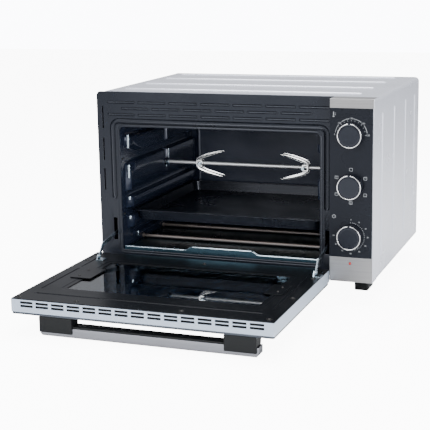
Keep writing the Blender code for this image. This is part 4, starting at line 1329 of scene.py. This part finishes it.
def open_ring(z):
    """The bright ring of one knob."""
    made = bmesh.new()
    loops = []
    for i in range(RING_STEPS + 1):
        angle = RING_GAP + (2 * math.pi - 2 * RING_GAP) * i / RING_STEPS
        loops.append([Vector((KNOB_X + r * math.sin(angle), y, z + r * math.cos(angle)))
                      for r, y in RING_SECTION])
    loft(made, loops)
    return made


for label, level in KNOB_LEVELS.items():
    knob = turned(bmesh.new(), KNOB_PROFILE, (KNOB_X, 0, level), "y", KNOB_SIDES)
    piece(f"{label}_dial", knob, knob_black, f"{label}_control", (f"{label}_knob",))
    piece(f"{label}_dial_ring", open_ring(level), knob_ring_chrome, f"{label}_control",
          (f"{label}_knob_ring",))
print("knobs", len(KNOB_LEVELS), "each", round(2 * max(radius for radius, _ in KNOB_PROFILE), 1), "mm across")

# %% [markdown]
# ## The spit
# The rod is ground steel, driven by a socket that the motor turns. Each fork slides on it: a bored hub
# between two cheeks, held by a screw, with four prongs that curve towards the roast. A real fork is cut
# from sheet and bent. A prong is lofted along its line from a section with a ridge, since its taper and
# ridge catch the light.

# %% Spit rod and socket
softened("spit_rod", rod_steel, 0.5, 3)
softened("drive_socket", bright_steel, 0.5, 3)
print("spit rod", round(span("spit_rod")[1].x - span("spit_rod")[0].x), "mm long")

# %% Prongs
# Each row of the line is a place along the rod, a height over it, and the blade's width there. The section
# is in shares of half the width and half the thickness.
PRONG_LINE = [(-8, 5.4, 4.2), (-5.5, 9.6, 5.0), (0, 12.8, 5.6), (8, 15.8, 5.8), (18, 18.8, 5.4),
              (30, 22.0, 4.4), (41, 24.4, 2.8), (48.6, 25.7, 0.7)]
PRONG_THICKNESS = 1.9
PRONG_FULL_WIDTH = 4
PRONG_THINNEST = 0.35
PRONG_SECTION = [(1, 0.35), (0.35, 0.55), (0, 1.0), (-0.35, 0.55), (-1, 0.35), (-1, -0.35), (-0.35, -0.55),
                 (0, -1.0), (0.35, -0.55), (1, -0.35)]


def prong(made, hub, inward, y, up):
    """One pointed blade with a ridge down its middle."""
    loops = []
    for i, (x, z, width) in enumerate(PRONG_LINE):
        before = PRONG_LINE[max(i - 1, 0)]
        after = PRONG_LINE[min(i + 1, len(PRONG_LINE) - 1)]
        along = Vector((after[0] - before[0], after[1] - before[1])).normalized()
        across = Vector((-along.y, along.x)) * width / 2
        half = PRONG_THICKNESS / 2 * (PRONG_THINNEST + 0.65 * min(1, width / PRONG_FULL_WIDTH))
        loops.append([Vector((hub + inward * (x + across.x * a), y + half * b,
                              SPIT_Z + up * (z + across.y * a))) for a, b in PRONG_SECTION])
    loft(made, loops)


print("a prong reaches", PRONG_LINE[-1][0], "mm inward and", PRONG_LINE[-1][1], "mm out")

# %% Forks and screws
FORKS = {"left": (138, 1), "right": (363, -1)}
HUB_SECTION = [(-9.0, 4.0), (-9.0, 5.0), (-8.4, 5.5), (3.6, 5.5), (4.2, 5.0), (4.2, 4.0)]
CHEEK_OFF = 8.4
CHEEK_HALF = 0.8
CHEEK_OUTLINE = rounded(-9.6, -6.6, 3.4, 6.6, (3, 2.5, 2.5, 3), 4)
CHEEK_HOLE = rounded(-7.4, -4.4, 1.2, 4.4, (2, 2, 2, 2), 4)
BRIDGE_OFF = 5.6
BRIDGE_HALF = 0.9
BRIDGE_ENDS = (9.4, 6.4)


def fork(side):
    """A hub bored for the rod, two cheeks, and four prongs."""
    hub, inward = FORKS[side]
    made = bmesh.new()
    loft(made, [spit_ring(hub + inward * x, radius) for x, radius in HUB_SECTION], joined=True)
    for y in (-CHEEK_OFF, CHEEK_OFF):
        eye = [(CHEEK_OUTLINE, -CHEEK_HALF), (CHEEK_OUTLINE, CHEEK_HALF), (CHEEK_HOLE, CHEEK_HALF),
               (CHEEK_HOLE, -CHEEK_HALF)]
        loft(made, [[Vector((hub + inward * u, SPIT_Y + y + t, SPIT_Z + v)) for u, v in outline]
                    for outline, t in eye], joined=True)
        for up in (1, -1):
            prong(made, hub, inward, SPIT_Y + y, up)
    for z in (-BRIDGE_OFF, BRIDGE_OFF):
        low, high = sorted(hub - inward * end for end in BRIDGE_ENDS)
        bar_box(made, (low, SPIT_Y - CHEEK_OFF, SPIT_Z + z - BRIDGE_HALF),
                (high, SPIT_Y + CHEEK_OFF, SPIT_Z + z + BRIDGE_HALF), 0.3)
    return made


for side in FORKS:
    piece(f"meat_fork_{side}", fork(side), spit_chrome, f"fork_{side}",
          (f"spit_fork_{side}",), 40)
    softened(f"spit_fork_{side}_screw", bright_steel, 0.4, 2)
print("forks", len(FORKS))

# %% [markdown]
# ## The door
# The door is a silver frame with two rows of vents along its far edge, dark outer glass, and a black inner
# panel with a window of clear glass. The vents are real holes: a tree sets one punch out on a grid, all the
# punches become one cutter, and a single Boolean takes them out. Behind them lies a thin black strip of
# painted shade: it stands in for the shade inside the hollow door, so that the vents look dark.

# %% Door frame with its vents
VENT_COLUMNS = 15
VENT_ROWS = 2
VENT_PITCH = 29.8
VENT_ROWS_APART = 6.2
VENT_FIRST = 31.3
VENT_LEVEL = 9.55
VENT_LENGTH = 24.2
VENT_HALF = 2.0
PUNCH_REACH = 4
vent = bmesh.new()
vent_outline = rounded(-VENT_LENGTH / 2, -VENT_HALF, VENT_LENGTH / 2, VENT_HALF, [0.7] * 4, 3)
loft(vent, [[Vector((u, depth, v)) for u, v in vent_outline] for depth in (-PUNCH_REACH, PUNCH_REACH)])
vent_pattern = pattern_object("vent_pattern", vent)
DOOR_FAR = span("door_frame")[0].y
vent_middle = at(VENT_FIRST + VENT_PITCH * (VENT_COLUMNS - 1) / 2, DOOR_FAR, VENT_LEVEL)
cutter_mesh = grown("vent_cutter", FIELD, bpy.data.meshes.new("seed"), {
    "Columns": VENT_COLUMNS, "Rows": VENT_ROWS, "Width": VENT_PITCH * (VENT_COLUMNS - 1) * MM,
    "Height": VENT_ROWS_APART * MM, "Turn": STANDING, "Place": vent_middle, "Pattern": vent_pattern,
    "Finish": door_silver})
cutter = bpy.data.objects.new("vent_cutter", cutter_mesh)
bpy.context.scene.collection.objects.link(cutter)
softened("door_frame", door_silver, 0.25, 2, cutters=(cutter,))
bpy.data.objects.remove(cutter)
print("door vents", VENT_COLUMNS * VENT_ROWS)

# %% Black strip of painted shade behind the vents
STRIP_DEPTHS = (4.6, 5.3)
# Painted shade: a black strip put where the door's hollow is only in shade, so that the vents look dark.
screen = bmesh.new()
bar_box(screen, (8, DOOR_FAR + STRIP_DEPTHS[0], 3.4), (470, DOOR_FAR + STRIP_DEPTHS[1], 15.6), 0.2)
piece("door_vent_screen", screen, black_plastic, "door")
print("strip", round(STRIP_DEPTHS[1] - STRIP_DEPTHS[0], 1), "mm thick")

# %% [markdown]
# ## The door's inner face
# One black sheet covers the inside of the door. It steps down round the window to seat the glass, a long
# channel along the far edge and four short ones beside the window stiffen it, and small slots are cut near
# the hinges. It is pressed with the same rings as the front frame, only lying down.

# %% Inner panel's outline
PANEL_LOW, PANEL_HIGH = span("door_inner_panel")
PANEL_TOP = PANEL_HIGH.z
PANEL_SHEET = 1.2
WINDOW = (66, -281, 424, -92)
WINDOW_RADII = (6, 6, 6, 6)
WINDOW_STEP = [(11, 0), (10.4, 0), (9.8, 0.2), (9.2, 0.5), (8.6, 0.5), (1.4, 0.5), (0.7, 0.5), (0.2, 0.75),
               (0, 1.0), (0, PANEL_SHEET)]
PANEL_SLOTS = ((8.5, -41, 9), (8.5, -62, 9), (21, -50, 7), (469, -41, 9), (469, -62, 9), (457, -50, 7))
SHORT_CHANNELS = ((-66, -136), (-150, -292))


def door_inside(x, y, depth):
    """A place on the door's inner face, which looks up while the door is open."""
    return Vector((x, y, PANEL_TOP - depth))


def panel_outline(inset):
    """The inner panel's own outline, a little further in."""
    return rounded(PANEL_LOW.x + inset, PANEL_LOW.y + inset, PANEL_HIGH.x - inset, PANEL_HIGH.y - inset,
                   [2] * 4, 4)


print("window", WINDOW[2] - WINDOW[0], "by", WINDOW[3] - WINDOW[1], "mm")

# %% Pressing the inner panel
panel_slots = [[(grown_box(*WINDOW, WINDOW_RADII, more), depth) for more, depth in WINDOW_STEP]]
for x, y, length in PANEL_SLOTS:
    panel_slots.append(slot_rings([(x, y), (x, y - length)], 1.5, 0.6, PANEL_SHEET))
panel_channels = [channel_rings([(28, -322), (443, -322)], 3.2, 1.1, PANEL_SHEET)]
panel_channels += [channel_rings([(x, start), (x, stop)], 2.4, 0.9, PANEL_SHEET)
                   for x in (24, 454) for start, stop in SHORT_CHANNELS]
panel_edge = [(panel_outline(inset), depth) for inset, depth in
              ((0.9, 0), (0.4, 0), (0.1, 0.2), (0, 0.5), (0, PANEL_SHEET))]
inner_panel = pressed(door_inside, panel_edge, panel_slots, panel_channels)
piece("inner_panel", inner_panel, panel_enamel, "door", ("door_inner_panel",))
print("inner panel", len(PANEL_SLOTS), "slots and", len(panel_channels), "channels")

# %% Glass and clips
softened("door_outer_glass", dark_glass, 0.8, 3)
softened("door_inner_glass", clear_glass, 0.4, 2)
for side in ("left", "right"):
    softened(f"glass_clip_{side}", panel_enamel, 0.4, 2)
print("outer glass", round(span("door_outer_glass")[1].x - span("door_outer_glass")[0].x), "mm wide")

# %% [markdown]
# ## Handle, hinges and arms
# The handle is a bar of drawn aluminium with chamfered ends, on two black brackets. The hinges turn in ears
# on the cabinet. The arms are bright strip that hold the open door level, each with a pin in a lug on the
# door. The working shapes carry the joints, so they are kept exactly and only their edges are broken.

# %% Handle, hinges and arms
softened("handle_bar", handle_silver, 0.9, 3)
softened("handle_liner", black_plastic, 0.5, 2)
for side in ("left", "right"):
    softened(f"handle_bracket_{side}", black_plastic, 0.7, 3)
    softened(f"door_hinge_{side}", bright_steel, 0.3, 2)
    softened(f"hinge_ear_{side}", bright_steel, 0.3, 2)
    softened(f"arm_lug_{side}", bright_steel, 0.2, 2)
    softened(f"hinge_arm_{side}", bright_steel, 0.35, 2)
print("handle", round(span("handle_bar")[1].x - span("handle_bar")[0].x), "mm long")

# %% [markdown]
# ## Arm springs
# A tension spring inside each side of the cabinet pulls on the arm and balances the door. It is a wire
# wound on a helix, so it is lofted: a small ring of places rides along the helix and faces across it. A
# curve with a round bevel would do as well, but the loft gives the finished mesh at once. The springs stay
# as they are when the door moves.

# %% Arm springs
SPRING_WIRE = 0.55
SPRING_WIRE_SIDES = 6
SPRING_TURNS = 26
SPRING_STEPS = 14
SPRING_RADIUS = 2.9
SPRING_SPARE = 1
for side in ("left", "right"):
    low, high = span(f"arm_spring_{side}")
    middle = (low + high) / 2
    loops = []
    steps = SPRING_TURNS * SPRING_STEPS
    for i in range(steps + 1):
        turn = 2 * math.pi * SPRING_TURNS * i / steps
        y = low.y + SPRING_SPARE + (high.y - low.y - 2 * SPRING_SPARE) * i / steps
        out = Vector((math.cos(turn), 0, math.sin(turn)))
        centre = Vector((middle.x, y, middle.z)) + out * SPRING_RADIUS
        loops.append([centre + (out * math.cos(a) + Vector((0, 1, 0)) * math.sin(a)) * SPRING_WIRE
                      for a in [2 * math.pi * k / SPRING_WIRE_SIDES for k in range(SPRING_WIRE_SIDES)]])
    coil = bmesh.new()
    loft(coil, loops)
    piece(f"arm_spring_coil_{side}", coil, bright_steel, "cabinet",
          (f"arm_spring_{side}",), 80)
print("springs", SPRING_TURNS, "turns")

# %% [markdown]
# ## Screws
# Every screw is the same pan head with a cross, and the screws of the inner panel sit in a shallow pressed
# cup. One head and one cup are turned once. A tree then sets copies out wherever a sheet is fixed, each
# facing the way its place says, and makes one real mesh of all the heads on a body.

# %% A screw head and a cup
HEAD_RINGS = [(0, 1.35), (0.4, 1.34), (0.8, 1.3), (1.2, 1.22), (1.7, 1.05), (2.2, 0.72), (2.55, 0.25),
              (2.6, -0.4)]
CUP_RINGS = [(0, 0.05), (2.7, 0.05), (3.5, 0.25), (4.2, 0.6), (4.6, 0.58), (4.9, 0.3), (5.0, -0.4), (0, -0.4)]
HEAD_SIDES = 24
CROSS_REACH = 1.6
CROSS_HALF = 0.33
CROSS_DEPTH = 0.6
CROSS_ABOVE = 0.9


def screw_head():
    """A pan head whose cross is pressed in near its middle."""
    made = turned(bmesh.new(), HEAD_RINGS + [(0, -0.4)], (0, 0, 0), "z", HEAD_SIDES)
    for vertex in made.verts:
        x, y, z = vertex.co
        if z > CROSS_ABOVE and math.hypot(x, y) < CROSS_REACH and min(abs(x), abs(y)) < CROSS_HALF:
            vertex.co.z = z - CROSS_DEPTH
    return made


screw = pattern_object("screw_head", screw_head())
print("screw head", 2 * HEAD_RINGS[-1][0], "mm across")

# %% Screws on the door
UP = (0, 0, 1)
PANEL_SCREWS = ((11, -89), (11, -222), (120, -348), (313, -348), (465, -350), (466, -95), (466, -224),
                (11, -350), (240, -52))
CLIP_SCREWS = ((50, -199), (50, -161), (432, -199), (432, -171))
door_screws = [((x, y, PANEL_TOP), UP) for x, y in PANEL_SCREWS]
cup = pattern_object("screw_cup", turned(bmesh.new(), CUP_RINGS, (0, 0, 0), "z", HEAD_SIDES))
set_out("door_screw_cups", cup, screw_black, door_screws, "door")
clip_top = span("glass_clip_left")[1].z
door_screws += [((x, y, clip_top), UP) for x, y in CLIP_SCREWS]
set_out("door_screws", screw, screw_black, door_screws, "door")
print("door screws", len(door_screws))

# %% Screws on the cabinet
BACK = (0, 1, 0)
RIGHT = (1, 0, 0)
LEFT = (-1, 0, 0)
WALL_SCREW_LIFT = 0.2
FRONT_SCREWS = ((12, 202), (12, 92))
COVER_FACE = span("rear_cover")[1].y
cover_screws = [((x, COVER_FACE, z), BACK) for x in (12, 145, 280, 415, 548) for z in (10, 327)]
cover_screws += [((x, COVER_FACE, z), BACK) for x in (12, 548) for z in (110, 220)]
set_out("cover_screws", screw, screw_steel, cover_screws, "cabinet")
wall_screws = [((WALL_FACES["left"] + WALL_SCREW_LIFT, y, z), RIGHT)
               for y, z in (*FRONT_SCREWS, (200, 52), (330, 130))]
wall_screws += [((WALL_FACES["right"] - WALL_SCREW_LIFT, y, z), LEFT) for y, z in (*FRONT_SCREWS, (330, 130))]
set_out("wall_screws", screw, screw_black, wall_screws, "cabinet")
print("cover screws", len(cover_screws), "wall screws", len(wall_screws))

# %% [markdown]
# ## Hooded vents on the rear cover
# The rear cover lets the heat out through rows of louvres, each a slit with a small hood pressed over it.
# One hood is a stack of ever smaller rounded bands, and the grid tree sets out six rows of nine.

# %% Hooded vents on the rear cover
HOOD_COLUMNS = 9
HOOD_ROWS = 6
HOOD_FIELD = (360, 85)
HOOD_MIDDLE = (230, 250)
HOOD_PATH = [(-14, 0), (14, 0)]
HOOD_RISE = [(3.4, -0.6), (3.4, 0.3), (3.0, 1.2), (2.0, 1.8), (0.8, 2.0)]
hood = bmesh.new()
loft(hood, [[Vector((u, depth, v)) for u, v in stadium(HOOD_PATH, half)] for half, depth in HOOD_RISE])
hood_pattern = pattern_object("rear_hood", hood)
hoods = grown("rear_hoods", FIELD, bpy.data.meshes.new("seed"), {
    "Columns": HOOD_COLUMNS, "Rows": HOOD_ROWS, "Width": HOOD_FIELD[0] * MM, "Height": HOOD_FIELD[1] * MM,
    "Turn": STANDING, "Place": at(HOOD_MIDDLE[0], COVER_FACE, HOOD_MIDDLE[1]), "Pattern": hood_pattern,
    "Finish": zinc_sheet})
settle(bpy.data.objects.new("rear_hoods", hoods), "cabinet")
print("rear vents", HOOD_COLUMNS * HOOD_ROWS)

# %% [markdown]
# ## The printed scales
# The facia is screen printed. Each mark is a film a tenth of a millimetre thick, so that the print has an
# edge in the light as real ink has. A tree sets the ticks of the timer and the temperature knob round an
# arc.

# %% A tree for scale marks
def scale_tree():
    """Marks round an arc, each pointing to its middle."""
    tree, start, _ = node_tree("scale_marks", [
        ("Count", "NodeSocketInt", 12), ("Radius", "NodeSocketFloat", 0.03),
        ("First", "NodeSocketFloat", 0.0), ("Sweep", "NodeSocketFloat", 3.0),
        ("Turn", "NodeSocketRotation", None),
        ("Place", "NodeSocketVector", None), ("Pattern", "NodeSocketObject", None),
        ("Finish", "NodeSocketMaterial", None)])
    arc = tree.nodes.new("GeometryNodeCurveArc")
    where = tree.nodes.new("GeometryNodeInputPosition")
    turn = tree.nodes.new("FunctionNodeAlignRotationToVector")
    turn.axis = "Y"
    link = tree.links.new
    link(start.outputs["Count"], arc.inputs["Resolution"])
    link(start.outputs["Radius"], arc.inputs["Radius"])
    link(start.outputs["First"], arc.inputs["Start Angle"])
    link(start.outputs["Sweep"], arc.inputs["Sweep Angle"])
    link(where.outputs["Position"], turn.inputs["Vector"])
    instance_end(tree, start, arc.outputs["Curve"], turn.outputs["Rotation"])
    surface = next(node for node in tree.nodes if node.type == "SET_MATERIAL")
    moved = tree.nodes.new("GeometryNodeTransform")
    end = next(node for node in tree.nodes if node.type == "GROUP_OUTPUT")
    real = next(node for node in tree.nodes if node.type == "REALIZE_INSTANCES")
    link(real.outputs["Geometry"], moved.inputs["Geometry"])
    link(start.outputs["Turn"], moved.inputs["Rotation"])
    link(start.outputs["Place"], moved.inputs["Translation"])
    link(moved.outputs["Geometry"], surface.inputs["Geometry"])
    return tree


SCALE = scale_tree()
print("scale tree", SCALE.name)

# %% Ticks round the knobs
INK = 0.1
TICK_OUTLINE = rounded(-0.3, -1.1, 0.3, 1.1, [0.2] * 4, 2)
TICK_RADIUS = 0.0258
TICK_ARCS = (("timer", 39, 90, -285), ("temperature", 13, 180, -180))
tick = bmesh.new()
loft(tick, [[Vector((u, v, depth)) for u, v in TICK_OUTLINE] for depth in (0, INK)])
tick_pattern = pattern_object("tick", tick)
for label, count, first, sweep in TICK_ARCS:
    marks = grown(f"{label}_ticks", SCALE, bpy.data.meshes.new("seed"), {
        "Count": count, "Radius": TICK_RADIUS, "First": math.radians(first), "Sweep": math.radians(sweep),
        "Turn": STANDING, "Place": at(KNOB_X, PANEL_FRONT, KNOB_LEVELS[label]),
        "Pattern": tick_pattern, "Finish": print_white})
    settle(bpy.data.objects.new(f"{label}_ticks", marks), "cabinet")
print("ticks", sum(count for _, count, _, _ in TICK_ARCS))

# %% [markdown]
# ## Arcs, numbers and pictures
# The rest of the print is drawn one by one: arcs and bands of ink between the temperatures, the numbers in
# Blender's built-in letters, and a small oven for each way of heating. Numbers start as text with a little
# thickness and become a mesh before they are put in place. All the ink is one piece, because it is one
# print.


# %% Tools for ink
def film(made, outline):
    """A filled shape of ink."""
    loft(made, [[Vector((u, PANEL_FRONT - depth, v)) for u, v in outline] for depth in (0, INK)])


def film_ring(made, outside, inside):
    """A line of ink between two outlines."""
    rings = [put(made, points, lambda u, v, depth: Vector((u, PANEL_FRONT - depth, v)), depth)
             for points, depth in ((outside, 0), (outside, INK), (inside, INK), (inside, 0))]
    for first, second in zip(rings, rings[1:] + rings[:1]):
        strip(made, first, second)


def arc_line(x, z, radius, start, stop):
    """A path round a knob, in degrees from the right."""
    turns = [math.radians(start + (stop - start) * i / 8) for i in range(9)]
    return [(x + radius * math.cos(t), z + radius * math.sin(t)) for t in turns]


def circle(x, z, radius, sides=24):
    """A round outline."""
    return [(x + radius * math.cos(2 * math.pi * i / sides), z + radius * math.sin(2 * math.pi * i / sides))
            for i in range(sides)]


def number(made, words, x, z, size):
    """A number of ink, from the built-in letters."""
    letters = bpy.data.curves.new("number", "FONT")
    letters.body = words
    letters.size = size
    letters.align_x = "CENTER"
    letters.align_y = "CENTER"
    letters.extrude = INK / 2
    letters.resolution_u = 3
    thing = bpy.data.objects.new("number", letters)
    bpy.context.scene.collection.objects.link(thing)
    mesh = evaluated(thing)
    mesh.transform(Matrix.Translation((x, PANEL_FRONT - INK / 2, z)) @ Matrix.Rotation(math.pi / 2, 4, "X"))
    made.from_mesh(mesh)
    bpy.data.objects.remove(thing)
    bpy.data.meshes.remove(mesh)


def oven_picture(made, x, z, upper, lower):
    """A small oven with a line for each heater that is on."""
    film_ring(made, rounded(x - 3.1, z - 2.9, x + 3.1, z + 2.9, [0.8] * 4, 3),
              rounded(x - 2.5, z - 2.3, x + 2.5, z + 2.3, [0.5] * 4, 3))
    for on, level in ((upper, 1.3), (lower, -1.3)):
        if on:
            film(made, rounded(x - 1.6, z + level - 0.3, x + 1.6, z + level + 0.3, [0.2] * 4, 2))


print("ink", INK, "mm thick")

# %% Scales of the temperature and function knobs
PRINT_RADIUS = 30.5
PRINT_RADIUS_UP = 29.5
ARC_RADIUS = 29.2
ARC_HALF = 0.45
TEMPERATURES = (("0", 180), ("100", 135), ("150", 90), ("200", 45), ("230", 0))
HEATERS_ON = ((0, 0), (1, 0), (0, 1), (1, 1), (1, 0), (1, 1))
TOP_KNOB = KNOB_LEVELS["temperature"]
MIDDLE_KNOB = KNOB_LEVELS["function"]
prints = bmesh.new()
for start, stop in ((8, 37), (53, 82), (98, 127), (143, 172)):
    film(prints, stadium(arc_line(KNOB_X, TOP_KNOB, ARC_RADIUS, start, stop), ARC_HALF, 3))
for words, angle in TEMPERATURES:
    turn = math.radians(angle)
    number(prints, words, KNOB_X + PRINT_RADIUS * math.cos(turn), TOP_KNOB + PRINT_RADIUS_UP * math.sin(turn),
           4.4)
for i, (upper, lower) in enumerate(HEATERS_ON):
    turn = math.radians(90 - 60 * i)
    oven_picture(prints, KNOB_X + PRINT_RADIUS * math.cos(turn), MIDDLE_KNOB + PRINT_RADIUS * math.sin(turn),
                 upper, lower)
print("pictures", len(HEATERS_ON))

# %% The timer's numbers, and small pictures of a thermometer and a clock
MINUTE_PLACES = ((519, 117), (534, 113), (546.5, 102), (550, 86), (546, 70), (535, 58.5), (519, 54),
                 (503, 58.5), (491.5, 70), (487, 86))
for i, (x, z) in enumerate(MINUTE_PLACES):
    number(prints, str(10 * i), x, z, 3.8)
film(prints, circle(486, 305.2, 1.5))
film(prints, stadium([(486, 306), (486, 313)], 0.7, 4))
film(prints, stadium([(488.4, 308), (490.2, 308)], 0.3, 3))
film(prints, stadium([(488.4, 311), (490.2, 311)], 0.3, 3))
film_ring(prints, circle(487.5, 122, 3.4), circle(487.5, 122, 2.7))
film(prints, stadium([(487.5, 122), (487.5, 124)], 0.3, 3))
film(prints, stadium([(487.5, 122), (489, 122)], 0.3, 3))
bmesh.ops.remove_doubles(prints, verts=prints.verts, dist=INK / 50)
piece("facia_print", prints, print_white, "cabinet")
print("timer numbers", len(MINUTE_PLACES))

# %% [markdown]
# ## The floor
# The oven stands on one large pale sheet that isn't part of it, so it is staged and rides on nothing. Like
# the world, it glows only where the camera looks straight at it: it takes the soft shadow under the feet,
# but it doesn't light the oven from below more than a real pale table would.

# %% Floor
FLOOR_HALF = 6000
FLOOR_GLOW = 9.5
floor = bmesh.new()
FLOOR_LEVEL = span("foot_front_left")[0].z
for corner in ((-1, -1), (1, -1), (1, 1), (-1, 1)):
    floor.verts.new(at(corner[0] * FLOOR_HALF, corner[1] * FLOOR_HALF, FLOOR_LEVEL))
floor.faces.new(floor.verts)
floor_mesh = bpy.data.meshes.new("floor")
floor.to_mesh(floor_mesh)
floor.free()
floor_mesh.materials.append(floor_white)
floor_tree = floor_white.node_tree
floor_shader = floor_tree.nodes["Principled BSDF"]
floor_shader.inputs["Emission Color"].default_value = (1, 1, 1, 1)
floor_tree.links.new(camera_only(floor_tree, 0.0, FLOOR_GLOW), floor_shader.inputs["Emission Strength"])
ground = bpy.data.objects.new("floor", floor_mesh)
bpy.context.scene.collection.objects.link(ground)
ground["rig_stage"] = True
print("floor at", round(FLOOR_LEVEL, 2), "mm")

# %% [markdown]
# ## Last measures
# The box that the visible oven fills is printed at the end.

# %% Finish
print("visible box", plain_box())
